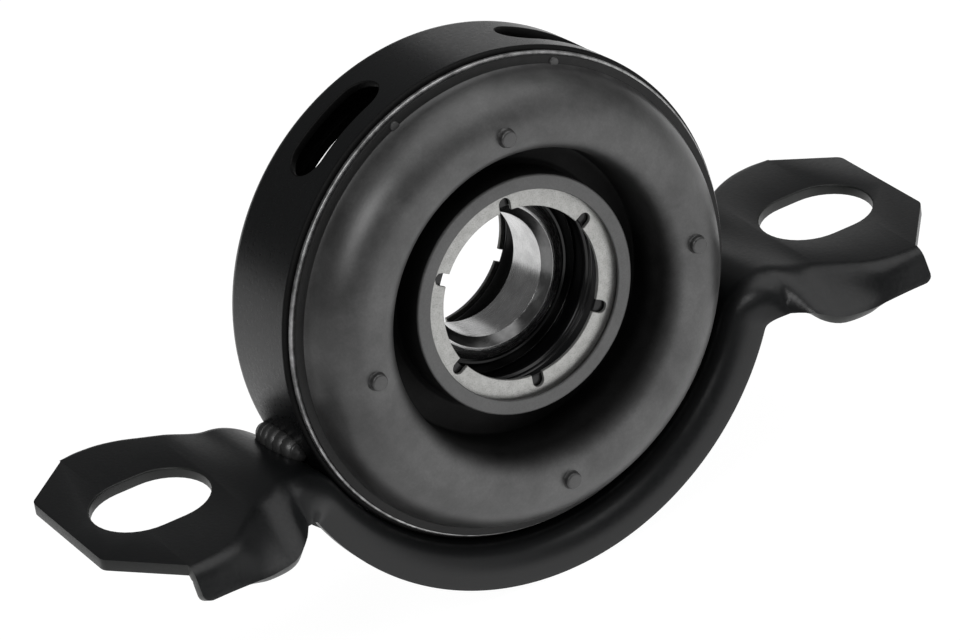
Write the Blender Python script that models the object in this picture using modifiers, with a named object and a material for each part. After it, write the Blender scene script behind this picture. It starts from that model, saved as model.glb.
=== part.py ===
"""Centre support of a two-piece drive shaft: a ball bearing in a rubber cushion, a steel ring and a saddle.

The bearing axis is Y and its centre is the origin. The front face looks towards -Y, and the ears of the
bracket reach out along X. The ring's own axis lies a little below the bearing axis.
"""

import math

import bmesh
import bpy
from mathutils import Matrix, Vector

# Fit between pieces that touch
SEAT_GAP = 0.0003

# Ball bearing
BEARING_OUTER_RADIUS = 0.026
BEARING_SECTION = 0.011
BEARING_WIDTH = 0.013
INNER_RACE_WIDTH = 0.0158
BORE_CHAMFER_DEPTH = 0.0018
BORE_CHAMFER_HEIGHT = 0.0022
RACE_EDGE_RADIUS = 0.0007
TRACK_WALL = 0.00165
BALL_COUNT = 11
SHOULDER_PER_BALL = 0.648
CAGE_PER_SHOULDER = 1.13
CAGE_BACK = 0.0012
CAGE_PRONG = 0.0016
SEAL_SEAT_DEPTH = 0.0011
SEAL_RIM = 0.0011
SEAL_THICKNESS = 0.0008

# Inner sleeve, its retainers and dust seals
SLEEVE_WALL = 0.0012
SLEEVE_LENGTH = 0.0454
RETAINER_THICKNESS = 0.001
RETAINER_INSET = 0.00065
RETAINER_FACE_WIDTH = 0.0053
RETAINER_SKIRT = 0.005
NOTCH_COUNT = 6
NOTCH_WIDTH = 0.003
NOTCH_DEPTH = 0.0033
DUST_SEAL_WALL = 0.002
DUST_LIP_INSET = 0.0007
DUST_LIP_WIDTH = 0.0011
DUST_RIB_HEIGHT = 0.0009
DUST_RIB_WIDTH = 0.0012

# Steel ring around the cushion
RING_RADIUS = 0.0589
RING_WALL = 0.002
RING_LENGTH = 0.0262
RING_MIDDLE_Y = -0.0021
RING_CORNER_RADIUS = 0.003
RING_FRONT_ROUND = 0.0009
REAR_WALL_WIDTH = 0.0104
BEARING_RISE = 0.0025
RING_SLOT_ANGLE = math.radians(30)
RING_SLOT_LENGTH = 0.0275
RING_SLOT_WIDTH = 0.0113
RING_SLOT_FORWARD = 0.0009

# Flanged ring bonded to the cushion
FLANGE_SETBACK = 0.001
FLANGE_THICKNESS = 0.0013
FLANGE_TUBE_WALL = 0.0013
FLANGE_TUBE_LENGTH = 0.0078

# Rubber cushion
ROLL_CREST_SHARE = 0.5127
ROLL_HEIGHT = 0.0122
ROLL_WALL = 0.0044
RIM_PAD = 0.0008
RIM_PAD_STEP = 0.0006
VALLEY_DEPTH = 0.0106
VALLEY_WIDTH = 0.0028
LIP_THICKNESS = 0.0008
LIP_REACH = 0.0012
LIP_ROUND = 0.0006
PIP_COUNT = 4
PIP_RADIUS = 0.002
PIP_HEIGHT = 0.0012

# Bracket stamped from one sheet. A rim is half the flat web, then its flange's reach out and turn down.
SHEET = 0.0028
BRACKET_FORWARD = 0.0004
EAR_DROP = 0.0185
EAR_BEND_RADIUS = 0.0155
EAR_SLOPE = 0.09
EAR_SLOPE_RUN = 0.010
EAR_SHOULDER_X = 0.0998
EAR_TIP_X = 0.1132
EAR_TIP_FRONT = 0.0147
EAR_TIP_REAR = 0.0180
MOUNT_SLOT_SPACING = 0.1850
MOUNT_SLOT_LENGTH = 0.0286
MOUNT_SLOT_WIDTH = 0.0228
STRAP_RIM = (0.0125, 0.0073, 0.0100)
CORNER_FRONT_RIM = (0.0110, 0.0075, 0.0130)
CORNER_REAR_RIM = (0.0150, 0.0060, 0.0110)
NECK_DISTANCE = 0.0075
NECK_FRONT_RIM = (0.0105, 0.0175, 0.0103)
NECK_REAR_RIM = (0.0178, 0.0050, 0.0070)
FLAP_FRONT_RIM = (0.0306, 0.0050, 0.0056)
FLAP_REAR_RIM = (0.0296, 0.0045, 0.0056)
FRONT_FLARE_POWER = 1.3
REAR_FLARE_RUN = 0.0160

# Weld beads between ring and bracket
BEAD_RADIUS = 0.0036
BEAD_LENGTH = 0.0180
BEAD_RIPPLES = 6
BEAD_RIPPLE_DEPTH = 0.0005
BEAD_LIFT = 0.0076
BEAD_MIDDLE_Y = 0.0015

# Facets
RING_FACETS = 48
SLEEVE_FACETS = 32
BALL_FACETS = 10
BALL_ROWS = 6
BEAD_FACETS = 10
RIPPLE_STEPS = 3
ARC_STEPS = 2
ROLL_STEPS = 4
STRAP_STEPS = 11
BEND_STEPS = 5
NECK_STEPS = 3
FLARE_STEPS = 6
FLANGE_COLUMNS = 3

# Worked out from the sizes above
BORE_RADIUS = BEARING_OUTER_RADIUS - BEARING_SECTION
PITCH_RADIUS = BEARING_OUTER_RADIUS - BEARING_SECTION / 2
GROOVE_RADIUS = BEARING_SECTION / 2 - TRACK_WALL
BALL_RADIUS = GROOVE_RADIUS - SEAT_GAP
SHOULDER_DROP = BALL_RADIUS * SHOULDER_PER_BALL
CAGE_WALL = SHOULDER_DROP * CAGE_PER_SHOULDER
SEAL_SEAT_RADIUS = BEARING_OUTER_RADIUS - SEAL_RIM
RETAINER_EYE_RADIUS = BEARING_OUTER_RADIUS - RETAINER_FACE_WIDTH
DUST_LIP_RADIUS = RETAINER_EYE_RADIUS + DUST_LIP_INSET
INNER_SHOULDER_RADIUS = PITCH_RADIUS - SHOULDER_DROP
OUTER_SHOULDER_RADIUS = PITCH_RADIUS + SHOULDER_DROP
SLEEVE_INNER_RADIUS = BEARING_OUTER_RADIUS + SEAT_GAP
SLEEVE_OUTER_RADIUS = SLEEVE_INNER_RADIUS + SLEEVE_WALL
SKIN_INNER_RADIUS = SLEEVE_OUTER_RADIUS + SEAT_GAP
SKIN_OUTER_RADIUS = SKIN_INNER_RADIUS + LIP_THICKNESS
LIP_EYE_RADIUS = SLEEVE_INNER_RADIUS - LIP_REACH
LIP_INNER_Y = SLEEVE_LENGTH / 2 + SEAT_GAP
LIP_OUTER_Y = LIP_INNER_Y + LIP_THICKNESS
RETAINER_Y = SLEEVE_LENGTH / 2 - RETAINER_INSET
RING_AXIS = Vector((0, 0, -BEARING_RISE))
RING_FRONT_Y = RING_MIDDLE_Y - RING_LENGTH / 2
RING_REAR_Y = RING_MIDDLE_Y + RING_LENGTH / 2
RING_INNER_RADIUS = RING_RADIUS - RING_WALL
REAR_OPENING_RADIUS = RING_INNER_RADIUS - REAR_WALL_WIDTH
FLANGE_RADIUS = RING_RADIUS - FLANGE_SETBACK
FLANGE_BACK_Y = RING_FRONT_Y - SEAT_GAP
FLANGE_FRONT_Y = FLANGE_BACK_Y - FLANGE_THICKNESS
FLANGE_TUBE_RADIUS = RING_INNER_RADIUS - SEAT_GAP
FLANGE_EYE_RADIUS = FLANGE_TUBE_RADIUS - FLANGE_TUBE_WALL
RIM_RADIUS = FLANGE_EYE_RADIUS - SEAT_GAP
VALLEY_RADIUS = SKIN_OUTER_RADIUS + VALLEY_WIDTH
ROLL_CREST_RADIUS = VALLEY_RADIUS + (RIM_RADIUS - VALLEY_RADIUS) * ROLL_CREST_SHARE
STRAP_RADIUS = RING_RADIUS + SEAT_GAP
BRACKET_MIDDLE_Y = RING_MIDDLE_Y - BRACKET_FORWARD
BEND_ANGLE = math.asin((EAR_DROP + EAR_BEND_RADIUS) / (STRAP_RADIUS + EAR_BEND_RADIUS))
BEND_CENTRE_X = (STRAP_RADIUS + EAR_BEND_RADIUS) * math.cos(BEND_ANGLE)
BEND_CENTRE_Z = -EAR_DROP - EAR_BEND_RADIUS
BEND_TURN = math.pi / 2 - BEND_ANGLE

PARTS = None
CUTTERS = None


def start_scene():
    """An empty scene with one collection for the parts and a hidden one for the cutters."""
    global PARTS, CUTTERS
    for obj in list(bpy.data.objects):
        bpy.data.objects.remove(obj, do_unlink=True)
    PARTS = bpy.data.collections.new("drive_axle_support")
    CUTTERS = bpy.data.collections.new("cutters")
    for collection in (PARTS, CUTTERS):
        bpy.context.scene.collection.children.link(collection)


def finish(name, colour, roughness, metallic):
    made = bpy.data.materials.new(name)
    made.use_nodes = True
    shader = made.node_tree.nodes["Principled BSDF"]
    shader.inputs["Base Color"].default_value = (*colour, 1)
    shader.inputs["Roughness"].default_value = roughness
    shader.inputs["Metallic"].default_value = metallic
    return made


def add_object(name, mesh, material=None, cutter=False):
    obj = bpy.data.objects.new(name, mesh)
    if cutter:
        CUTTERS.objects.link(obj)
        obj.hide_render = True
        obj.display_type = "WIRE"
    else:
        PARTS.objects.link(obj)
        mesh.materials.append(material)
    return obj


def smooth(obj, degrees=35):
    obj.data.shade_smooth()
    obj.data.set_sharp_from_angle(angle=math.radians(degrees))


def bake(obj):
    """Replaces the object's mesh by what its modifiers make of it."""
    graph = bpy.context.evaluated_depsgraph_get()
    mesh = bpy.data.meshes.new_from_object(obj.evaluated_get(graph))
    obj.modifiers.clear()
    obj.data = mesh


def cut(obj, cutter, operation="DIFFERENCE"):
    boolean = obj.modifiers.new(operation.lower(), "BOOLEAN")
    boolean.operation = operation
    boolean.object = cutter
    boolean.solver = "EXACT"


def rounded(corners, steps=ARC_STEPS):
    """A closed outline from corners (radius, y, fillet), each fillet drawn as an arc."""
    points = []
    for index, (radius, y, fillet) in enumerate(corners):
        corner = Vector((radius, y))
        if not fillet:
            points.append(corner)
            continue
        back = (Vector(corners[index - 1][:2]) - corner).normalized()
        ahead = (Vector(corners[(index + 1) % len(corners)][:2]) - corner).normalized()
        half = back.angle(ahead) / 2
        centre = corner + (back + ahead).normalized() * (fillet / math.sin(half))
        arm = corner + back * (fillet / math.tan(half)) - centre
        turn = (math.pi - 2 * half) * (1 if back.cross(ahead) < 0 else -1)
        for step in range(steps + 1):
            points.append(centre + Matrix.Rotation(turn * step / steps, 2) @ arm)
    return points


def bezier(start, pull, push, end, steps):
    """Points of a cubic curve, without its first point."""
    points = []
    for step in range(1, steps + 1):
        t = step / steps
        points.append(
            start * (1 - t) ** 3 + pull * 3 * t * (1 - t) ** 2 + push * 3 * t * t * (1 - t) + end * t**3
        )
    return points


def turned(name, outline, facets, material=None, centre=(0, 0, 0), closed=True, cutter=False):
    """A solid of revolution about a line along Y through the centre, from (radius, y) points."""
    points = [Vector(point) for point in outline]
    area = sum(points[i - 1].cross(points[i]) for i in range(len(points)))
    if area > 0:
        points.reverse()
    mesh = bpy.data.meshes.new(name)
    edges = [(i, i + 1) for i in range(len(points) - 1)]
    if closed:
        edges.append((len(points) - 1, 0))
    mesh.from_pydata([(point.x, 0, point.y) for point in points], edges, [])
    obj = add_object(name, mesh, material, cutter)
    screw = obj.modifiers.new("turn", "SCREW")
    screw.steps = screw.render_steps = facets
    screw.use_merge_vertices = True
    screw.merge_threshold = 0.00001
    screw.use_smooth_shade = True
    obj.rotation_euler = (-math.pi / 2, 0, 0)
    obj.location = centre
    bpy.context.view_layer.update()
    return obj


def slot_outline(length, width, steps=8):
    """A slot with round ends, long along its first axis."""
    straight = (length - width) / 2
    points = []
    for side in (1, -1):
        for step in range(steps + 1):
            angle = -math.pi / 2 + math.pi * step / steps
            along = straight + width / 2 * math.cos(angle)
            across = width / 2 * math.sin(angle)
            points.append(Vector((side * along, side * across)))
    return points


def prism_cutter(name, outline, depth, placements):
    """One cutter that holds a straight prism at each placement. The prism runs along local Z."""
    shape = bmesh.new()
    for placement in placements:
        rim = [shape.verts.new(placement @ Vector((point.x, point.y, -depth / 2))) for point in outline]
        face = shape.faces.new(rim)
        grown = bmesh.ops.extrude_face_region(shape, geom=[face])
        top = [item for item in grown["geom"] if isinstance(item, bmesh.types.BMVert)]
        bmesh.ops.translate(shape, verts=top, vec=placement.to_3x3() @ Vector((0, 0, depth)))
    bmesh.ops.recalc_face_normals(shape, faces=shape.faces)
    mesh = bpy.data.meshes.new(name)
    shape.to_mesh(mesh)
    shape.free()
    return add_object(name, mesh, cutter=True)


def about_y(angle):
    """Turns the upright direction towards +X by the angle, about the bearing's direction."""
    return Matrix.Rotation(angle, 4, "Y")


def groove(side):
    """Ball track across the race, front to rear. The side is -1 for the inner race and 1 for the outer."""
    half = math.acos(SHOULDER_DROP / GROOVE_RADIUS)
    points = []
    for step in range(2 * ARC_STEPS + 1):
        angle = -half + 2 * half * step / (2 * ARC_STEPS)
        reach = side * GROOVE_RADIUS * math.cos(angle)
        points.append((PITCH_RADIUS + reach, GROOVE_RADIUS * math.sin(angle), 0))
    return points


def make_inner_race(material):
    end = INNER_RACE_WIDTH / 2
    bore_end = end - BORE_CHAMFER_DEPTH
    chamfer_top = BORE_RADIUS + BORE_CHAMFER_HEIGHT
    fillet = min(RACE_EDGE_RADIUS, 0.8 * (INNER_SHOULDER_RADIUS - chamfer_top))
    corners = [
        (BORE_RADIUS, -bore_end, 0),
        (chamfer_top, -end, 0),
        (INNER_SHOULDER_RADIUS, -end, fillet),
        *groove(-1),
        (INNER_SHOULDER_RADIUS, end, fillet),
        (chamfer_top, end, 0),
        (BORE_RADIUS, bore_end, 0),
    ]
    return turned("inner_race", rounded(corners), SLEEVE_FACETS, material)


def make_outer_race(material):
    end = BEARING_WIDTH / 2
    seat = end - SEAL_SEAT_DEPTH
    corners = [
        (SEAL_SEAT_RADIUS, -end, 0),
        (BEARING_OUTER_RADIUS, -end, RACE_EDGE_RADIUS),
        (BEARING_OUTER_RADIUS, end, RACE_EDGE_RADIUS),
        (SEAL_SEAT_RADIUS, end, 0),
        (SEAL_SEAT_RADIUS, seat, 0),
        (OUTER_SHOULDER_RADIUS, seat, 0),
        *reversed(groove(1)),
        (OUTER_SHOULDER_RADIUS, -seat, 0),
        (SEAL_SEAT_RADIUS, -seat, 0),
    ]
    return turned("outer_race", rounded(corners), SLEEVE_FACETS, material)


def make_bearing_seal(name, side, material):
    """Rubber-faced seal in the outer race, with a flat raised band."""
    inner = INNER_SHOULDER_RADIUS + SEAT_GAP
    outer = SEAL_SEAT_RADIUS - SEAT_GAP
    back = BEARING_WIDTH / 2 - SEAL_SEAT_DEPTH + SEAT_GAP
    face = back + SEAL_THICKNESS
    band = face - SEAL_THICKNESS / 3
    corners = [
        (inner, side * back, 0),
        (inner, side * band, 0),
        (inner + (outer - inner) * 0.25, side * face, 0),
        (inner + (outer - inner) * 0.7, side * face, 0),
        (outer, side * band, 0),
        (outer, side * back, 0),
    ]
    return turned(name, rounded(corners), SLEEVE_FACETS, material)


def ball_centre(index):
    angle = 2 * math.pi * index / BALL_COUNT
    return Vector((PITCH_RADIUS * math.sin(angle), 0, PITCH_RADIUS * math.cos(angle)))


def sphere_mesh(name, radius, centres):
    """Spheres whose poles face front and rear."""
    shape = bmesh.new()
    poles = Matrix.Rotation(math.pi / 2, 4, "X")
    for centre in centres:
        bmesh.ops.create_uvsphere(
            shape,
            u_segments=BALL_FACETS,
            v_segments=BALL_ROWS,
            radius=radius,
            matrix=Matrix.Translation(centre) @ poles,
        )
    mesh = bpy.data.meshes.new(name)
    shape.to_mesh(mesh)
    shape.free()
    return mesh


def make_balls(material):
    for index in range(BALL_COUNT):
        name = f"ball_{index + 1:02d}"
        ball = add_object(name, sphere_mesh(name, BALL_RADIUS, [Vector()]), material)
        ball.location = ball_centre(index)
        smooth(ball, 180)


def make_cage(material):
    """Moulded crown cage: a ring behind the balls, with prongs that stand up between them."""
    pocket = BALL_RADIUS + SEAT_GAP
    inner = PITCH_RADIUS - CAGE_WALL / 2
    outer = PITCH_RADIUS + CAGE_WALL / 2
    back = pocket + CAGE_BACK
    corners = [(inner, -CAGE_PRONG, 0), (outer, -CAGE_PRONG, 0), (outer, back, 0), (inner, back, 0)]
    cage = turned("ball_cage", rounded(corners), SLEEVE_FACETS, material)
    centres = [ball_centre(index) for index in range(BALL_COUNT)]
    pockets = add_object("cage_pockets", sphere_mesh("cage_pockets", pocket, centres), cutter=True)
    cut(cage, pockets)
    return cage


def make_sleeve(material):
    end = SLEEVE_LENGTH / 2
    corners = [
        (SLEEVE_INNER_RADIUS, -end, 0),
        (SLEEVE_OUTER_RADIUS, -end, 0),
        (SLEEVE_OUTER_RADIUS, end, 0),
        (SLEEVE_INNER_RADIUS, end, 0),
    ]
    return turned("inner_sleeve", rounded(corners), SLEEVE_FACETS, material)


def make_retainer(name, side, material):
    """Pressed steel disc with a skirt, slit from its eye by round-bottomed notches."""
    face = RETAINER_Y
    back = face - RETAINER_THICKNESS
    skirt_radius = BEARING_OUTER_RADIUS - RETAINER_THICKNESS
    corners = [
        (RETAINER_EYE_RADIUS, side * face, 0),
        (BEARING_OUTER_RADIUS, side * face, RETAINER_THICKNESS * 0.6),
        (BEARING_OUTER_RADIUS, side * (face - RETAINER_SKIRT), 0),
        (skirt_radius, side * (face - RETAINER_SKIRT), 0),
        (skirt_radius, side * back, 0),
        (RETAINER_EYE_RADIUS, side * back, 0),
    ]
    disc = turned(name, rounded(corners), SLEEVE_FACETS, material)
    reach = NOTCH_DEPTH + NOTCH_WIDTH
    upright = Matrix.Rotation(math.pi / 2, 4, "X")
    along = Matrix.Rotation(math.pi / 2, 4, "Z")
    placements = []
    middle_y = side * (face - RETAINER_THICKNESS / 2)
    outwards = Matrix.Translation((0, middle_y, RETAINER_EYE_RADIUS + NOTCH_DEPTH - reach / 2))
    for index in range(NOTCH_COUNT):
        placements.append(about_y(2 * math.pi * index / NOTCH_COUNT) @ outwards @ upright @ along)
    outline = slot_outline(reach, NOTCH_WIDTH, 5)
    notches = prism_cutter(f"{name}_notches", outline, RETAINER_THICKNESS * 3, placements)
    cut(disc, notches)
    return disc


def make_dust_seal(name, side, material):
    """Ribbed rubber liner between retainer and bearing, with a lip behind the retainer."""
    front = RETAINER_Y - RETAINER_THICKNESS - SEAT_GAP
    step = RETAINER_Y - RETAINER_SKIRT - SEAT_GAP
    back = BEARING_WIDTH / 2 + SEAT_GAP
    skirt_radius = BEARING_OUTER_RADIUS - RETAINER_THICKNESS - SEAT_GAP
    wall_radius = BEARING_OUTER_RADIUS - DUST_SEAL_WALL
    rib = (step + back) / 2
    corners = [
        (DUST_LIP_RADIUS, side * front, 0),
        (skirt_radius, side * front, 0),
        (skirt_radius, side * step, 0),
        (BEARING_OUTER_RADIUS, side * step, 0),
        (BEARING_OUTER_RADIUS, side * back, 0),
        (wall_radius, side * back, 0),
        (wall_radius, side * (rib - DUST_RIB_WIDTH), 0),
        (wall_radius - DUST_RIB_HEIGHT, side * (rib - DUST_RIB_WIDTH / 2), 0),
        (wall_radius - DUST_RIB_HEIGHT, side * (rib + DUST_RIB_WIDTH / 2), 0),
        (wall_radius, side * (rib + DUST_RIB_WIDTH), 0),
        (wall_radius, side * (front - 2 * DUST_LIP_WIDTH), 0),
        (DUST_LIP_RADIUS, side * (front - DUST_LIP_WIDTH), 0),
    ]
    return turned(name, rounded(corners), SLEEVE_FACETS, material)


def make_ring(material):
    """Deep-drawn ring with an inward wall at the rear and two long slots near its top."""
    corners = [
        (RING_RADIUS, RING_FRONT_Y, RING_FRONT_ROUND),
        (RING_RADIUS, RING_REAR_Y, RING_CORNER_RADIUS),
        (REAR_OPENING_RADIUS, RING_REAR_Y, 0),
        (REAR_OPENING_RADIUS, RING_REAR_Y - RING_WALL, 0),
        (RING_INNER_RADIUS, RING_REAR_Y - RING_WALL, RING_CORNER_RADIUS - RING_WALL),
        (RING_INNER_RADIUS, RING_FRONT_Y, 0),
    ]
    ring = turned("outer_ring", rounded(corners), RING_FACETS, material, RING_AXIS)
    outwards = Matrix.Translation((0, 0, RING_RADIUS - RING_WALL / 2))
    middle = Matrix.Translation(RING_AXIS + Vector((0, RING_MIDDLE_Y - RING_SLOT_FORWARD, 0)))
    placements = [middle @ about_y(turn) @ outwards for turn in (-RING_SLOT_ANGLE, RING_SLOT_ANGLE)]
    outline = slot_outline(RING_SLOT_LENGTH, RING_SLOT_WIDTH, 6)
    cut(ring, prism_cutter("ring_slots", outline, RING_RADIUS / 3, placements))
    return ring


def make_flange_ring(material):
    tube_end = FLANGE_BACK_Y + FLANGE_TUBE_LENGTH
    corners = [
        (FLANGE_EYE_RADIUS, FLANGE_FRONT_Y, 0),
        (FLANGE_RADIUS, FLANGE_FRONT_Y, FLANGE_THICKNESS / 3),
        (FLANGE_RADIUS, FLANGE_BACK_Y, FLANGE_THICKNESS / 3),
        (FLANGE_TUBE_RADIUS, FLANGE_BACK_Y, 0),
        (FLANGE_TUBE_RADIUS, tube_end, 0),
        (FLANGE_EYE_RADIUS, tube_end, 0),
    ]
    return turned("cushion_flange_ring", rounded(corners, 1), RING_FACETS, material, RING_AXIS)


def offset_path(points, distance):
    """The path moved sideways by the distance, to the left of its direction."""
    moved = []
    for index, point in enumerate(points):
        along = points[min(index + 1, len(points) - 1)] - points[max(index - 1, 0)]
        moved.append(point + Vector((-along.y, along.x)).normalized() * distance)
    return moved


def roll_path():
    """Front surface of the rubber roll, from its rim at the flange ring over the crest to the valley."""
    rim = Vector((RIM_RADIUS, FLANGE_FRONT_Y - SEAT_GAP - RIM_PAD))
    crest = Vector((ROLL_CREST_RADIUS, FLANGE_FRONT_Y - ROLL_HEIGHT))
    valley = Vector((VALLEY_RADIUS, -LIP_OUTER_Y + VALLEY_DEPTH))
    outer = rim.x - crest.x
    inner = crest.x - valley.x
    drop = valley.y - crest.y
    rim_pull = rim - Vector((outer * 0.12, ROLL_HEIGHT * 0.62))
    crest_push = crest + Vector((outer * 0.55, 0))
    crest_pull = crest - Vector((inner * 0.55, 0))
    valley_push = valley + Vector((inner * 0.12, -drop * 0.55))
    points = [rim]
    points += bezier(rim, rim_pull, crest_push, crest, ROLL_STEPS)
    points += bezier(crest, crest_pull, valley_push, valley, ROLL_STEPS)
    return points


def make_cushion(material):
    """Rubber roll between the flange ring and the inner sleeve, with a skin over the sleeve and four pips."""
    front = roll_path()
    back = offset_path(front, -ROLL_WALL)
    rim_outer = (FLANGE_RADIUS + FLANGE_TUBE_RADIUS) / 2
    pad_y = FLANGE_FRONT_Y - SEAT_GAP
    outline = [
        Vector((front[0].x, FLANGE_BACK_Y + FLANGE_TUBE_LENGTH)),
        Vector((front[0].x, pad_y)),
        Vector((rim_outer, pad_y)),
        Vector((rim_outer, pad_y - RIM_PAD_STEP)),
        *front,
        Vector((SKIN_OUTER_RADIUS, front[-1].y + VALLEY_WIDTH * 0.2)),
        Vector((SKIN_OUTER_RADIUS, -LIP_OUTER_Y + LIP_ROUND)),
        Vector((SKIN_OUTER_RADIUS - LIP_ROUND, -LIP_OUTER_Y)),
        Vector((LIP_EYE_RADIUS, -LIP_OUTER_Y)),
        Vector((LIP_EYE_RADIUS, -LIP_INNER_Y)),
        Vector((SKIN_INNER_RADIUS, -LIP_INNER_Y)),
        Vector((SKIN_INNER_RADIUS, LIP_INNER_Y)),
        Vector((LIP_EYE_RADIUS, LIP_INNER_Y)),
        Vector((LIP_EYE_RADIUS, LIP_OUTER_Y)),
        Vector((SKIN_OUTER_RADIUS - LIP_ROUND, LIP_OUTER_Y)),
        Vector((SKIN_OUTER_RADIUS, LIP_OUTER_Y - LIP_ROUND)),
        Vector((SKIN_OUTER_RADIUS, back[-1].y + ROLL_WALL)),
        *reversed(back[2::2]),
        Vector((front[0].x - ROLL_WALL, FLANGE_BACK_Y + FLANGE_TUBE_LENGTH)),
    ]
    cushion = turned("rubber_cushion", outline, RING_FACETS, material, RING_AXIS)
    crest_y = FLANGE_FRONT_Y - ROLL_HEIGHT
    placements = [
        Matrix.Translation(RING_AXIS)
        @ about_y(2 * math.pi * index / PIP_COUNT)
        @ Matrix.Translation((0, crest_y, ROLL_CREST_RADIUS))
        @ Matrix.Rotation(math.pi / 2, 4, "X")
        for index in range(PIP_COUNT)
    ]
    round_outline = slot_outline(2 * PIP_RADIUS, 2 * PIP_RADIUS, 6)
    pips = prism_cutter("cushion_pips", dedupe(round_outline), 2 * PIP_HEIGHT, placements)
    cut(cushion, pips, "UNION")
    bake(cushion)
    lift_inner_side(cushion)
    smooth(cushion)
    return cushion


def dedupe(outline):
    """The outline without points that repeat their neighbour."""
    return [point for index, point in enumerate(outline) if (point - outline[index - 1]).length > 0.00001]


def lift_inner_side(cushion):
    """Moves the cushion's inner side up to the bearing axis, and leaves its rim on the ring's axis."""
    rigid_radius = SKIN_OUTER_RADIUS + VALLEY_WIDTH / 2
    free = ROLL_CREST_RADIUS - rigid_radius
    for vertex in cushion.data.vertices:
        radius = math.hypot(vertex.co.x, vertex.co.y)
        share = min(max((ROLL_CREST_RADIUS - radius) / free, 0), 1)
        vertex.co.y -= BEARING_RISE * share * share * (3 - 2 * share)


def bracket_stations():
    """Stations from the saddle's bottom to the ear's shoulder: point, downward normal, both rims, slope."""
    stations = []
    for step in range(STRAP_STEPS + 1):
        share = step / STRAP_STEPS
        angle = BEND_TURN * share
        outwards = Vector((math.sin(angle), -math.cos(angle)))
        stations.append((outwards * STRAP_RADIUS, outwards, STRAP_RIM, STRAP_RIM, 0))
    centre = Vector((BEND_CENTRE_X, BEND_CENTRE_Z))
    for step in range(1, BEND_STEPS + 1):
        share = step / BEND_STEPS
        angle = BEND_TURN * (1 - share)
        inwards = Vector((-math.sin(angle), math.cos(angle)))
        front = blend(STRAP_RIM, CORNER_FRONT_RIM, share)
        rear = blend(STRAP_RIM, CORNER_REAR_RIM, share)
        stations.append((centre + inwards * EAR_BEND_RADIUS, -inwards, front, rear, 0))
    down = Vector((0, -1))
    for step in range(1, NECK_STEPS + 1):
        share = step / NECK_STEPS
        front = blend(CORNER_FRONT_RIM, NECK_FRONT_RIM, ease(share))
        rear = blend(CORNER_REAR_RIM, NECK_REAR_RIM, ease(share))
        x = BEND_CENTRE_X + NECK_DISTANCE * share
        stations.append((Vector((x, -EAR_DROP)), down, front, rear, ear_slope(x)))
    neck_x = BEND_CENTRE_X + NECK_DISTANCE
    for step in range(1, FLARE_STEPS + 1):
        share = step / FLARE_STEPS
        x = neck_x + (EAR_SHOULDER_X - neck_x) * share
        front = blend(NECK_FRONT_RIM, FLAP_FRONT_RIM, share**FRONT_FLARE_POWER)
        rear = blend(NECK_REAR_RIM, FLAP_REAR_RIM, ease(min((x - neck_x) / REAR_FLARE_RUN, 1)))
        stations.append((Vector((x, -EAR_DROP)), down, front, rear, ear_slope(x)))
    return stations


def ear_slope(x):
    """How much of the ears' slope, high at the rear, is reached at this distance from the middle."""
    return EAR_SLOPE * ease(min((x - BEND_CENTRE_X) / EAR_SLOPE_RUN, 1))


def blend(first, second, share):
    return tuple(a + (b - a) * share for a, b in zip(first, second))


def ease(share):
    return share * share * (3 - 2 * share)


def flange_point(reach, depth, share):
    """Point along a flange that leaves the web as an arc, then straight where it is deeper than its reach."""
    if depth > reach:
        arc = reach * math.pi / 2
        along = share * (arc + depth - reach)
        if along > arc:
            return reach, reach + along - arc
        return reach * math.sin(along / reach), reach * (1 - math.cos(along / reach))
    radius = (reach * reach + depth * depth) / (2 * depth)
    angle = math.asin(reach / radius) * share
    return radius * math.sin(angle), radius * (1 - math.cos(angle))


def rim_points(rim):
    """How far out and down each point of a rim lies, from the edge of the web to the flange's edge."""
    half_web, reach, depth = rim
    turned_down = [flange_point(reach, depth, step / FLANGE_COLUMNS) for step in range(1, FLANGE_COLUMNS + 1)]
    return [(half_web, 0)] + [(half_web + out, down) for out, down in turned_down]


def bracket_row(shape, point, outwards, front, rear, slope):
    """One row of points across the sheet, front to rear, from the (out, down) points of its two sides."""
    across = [(-out, down) for out, down in reversed(front)] + [(0, 0)] + list(rear)
    row = []
    for y, down in across:
        flat = point + outwards * down
        place = RING_AXIS + Vector((flat.x, BRACKET_MIDDLE_Y + y, flat.y + slope * y))
        row.append(shape.verts.new(place))
    return row


def join_rows(shape, first, second):
    for column in range(len(first) - 1):
        shape.faces.new((first[column], first[column + 1], second[column + 1], second[column]))


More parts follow.
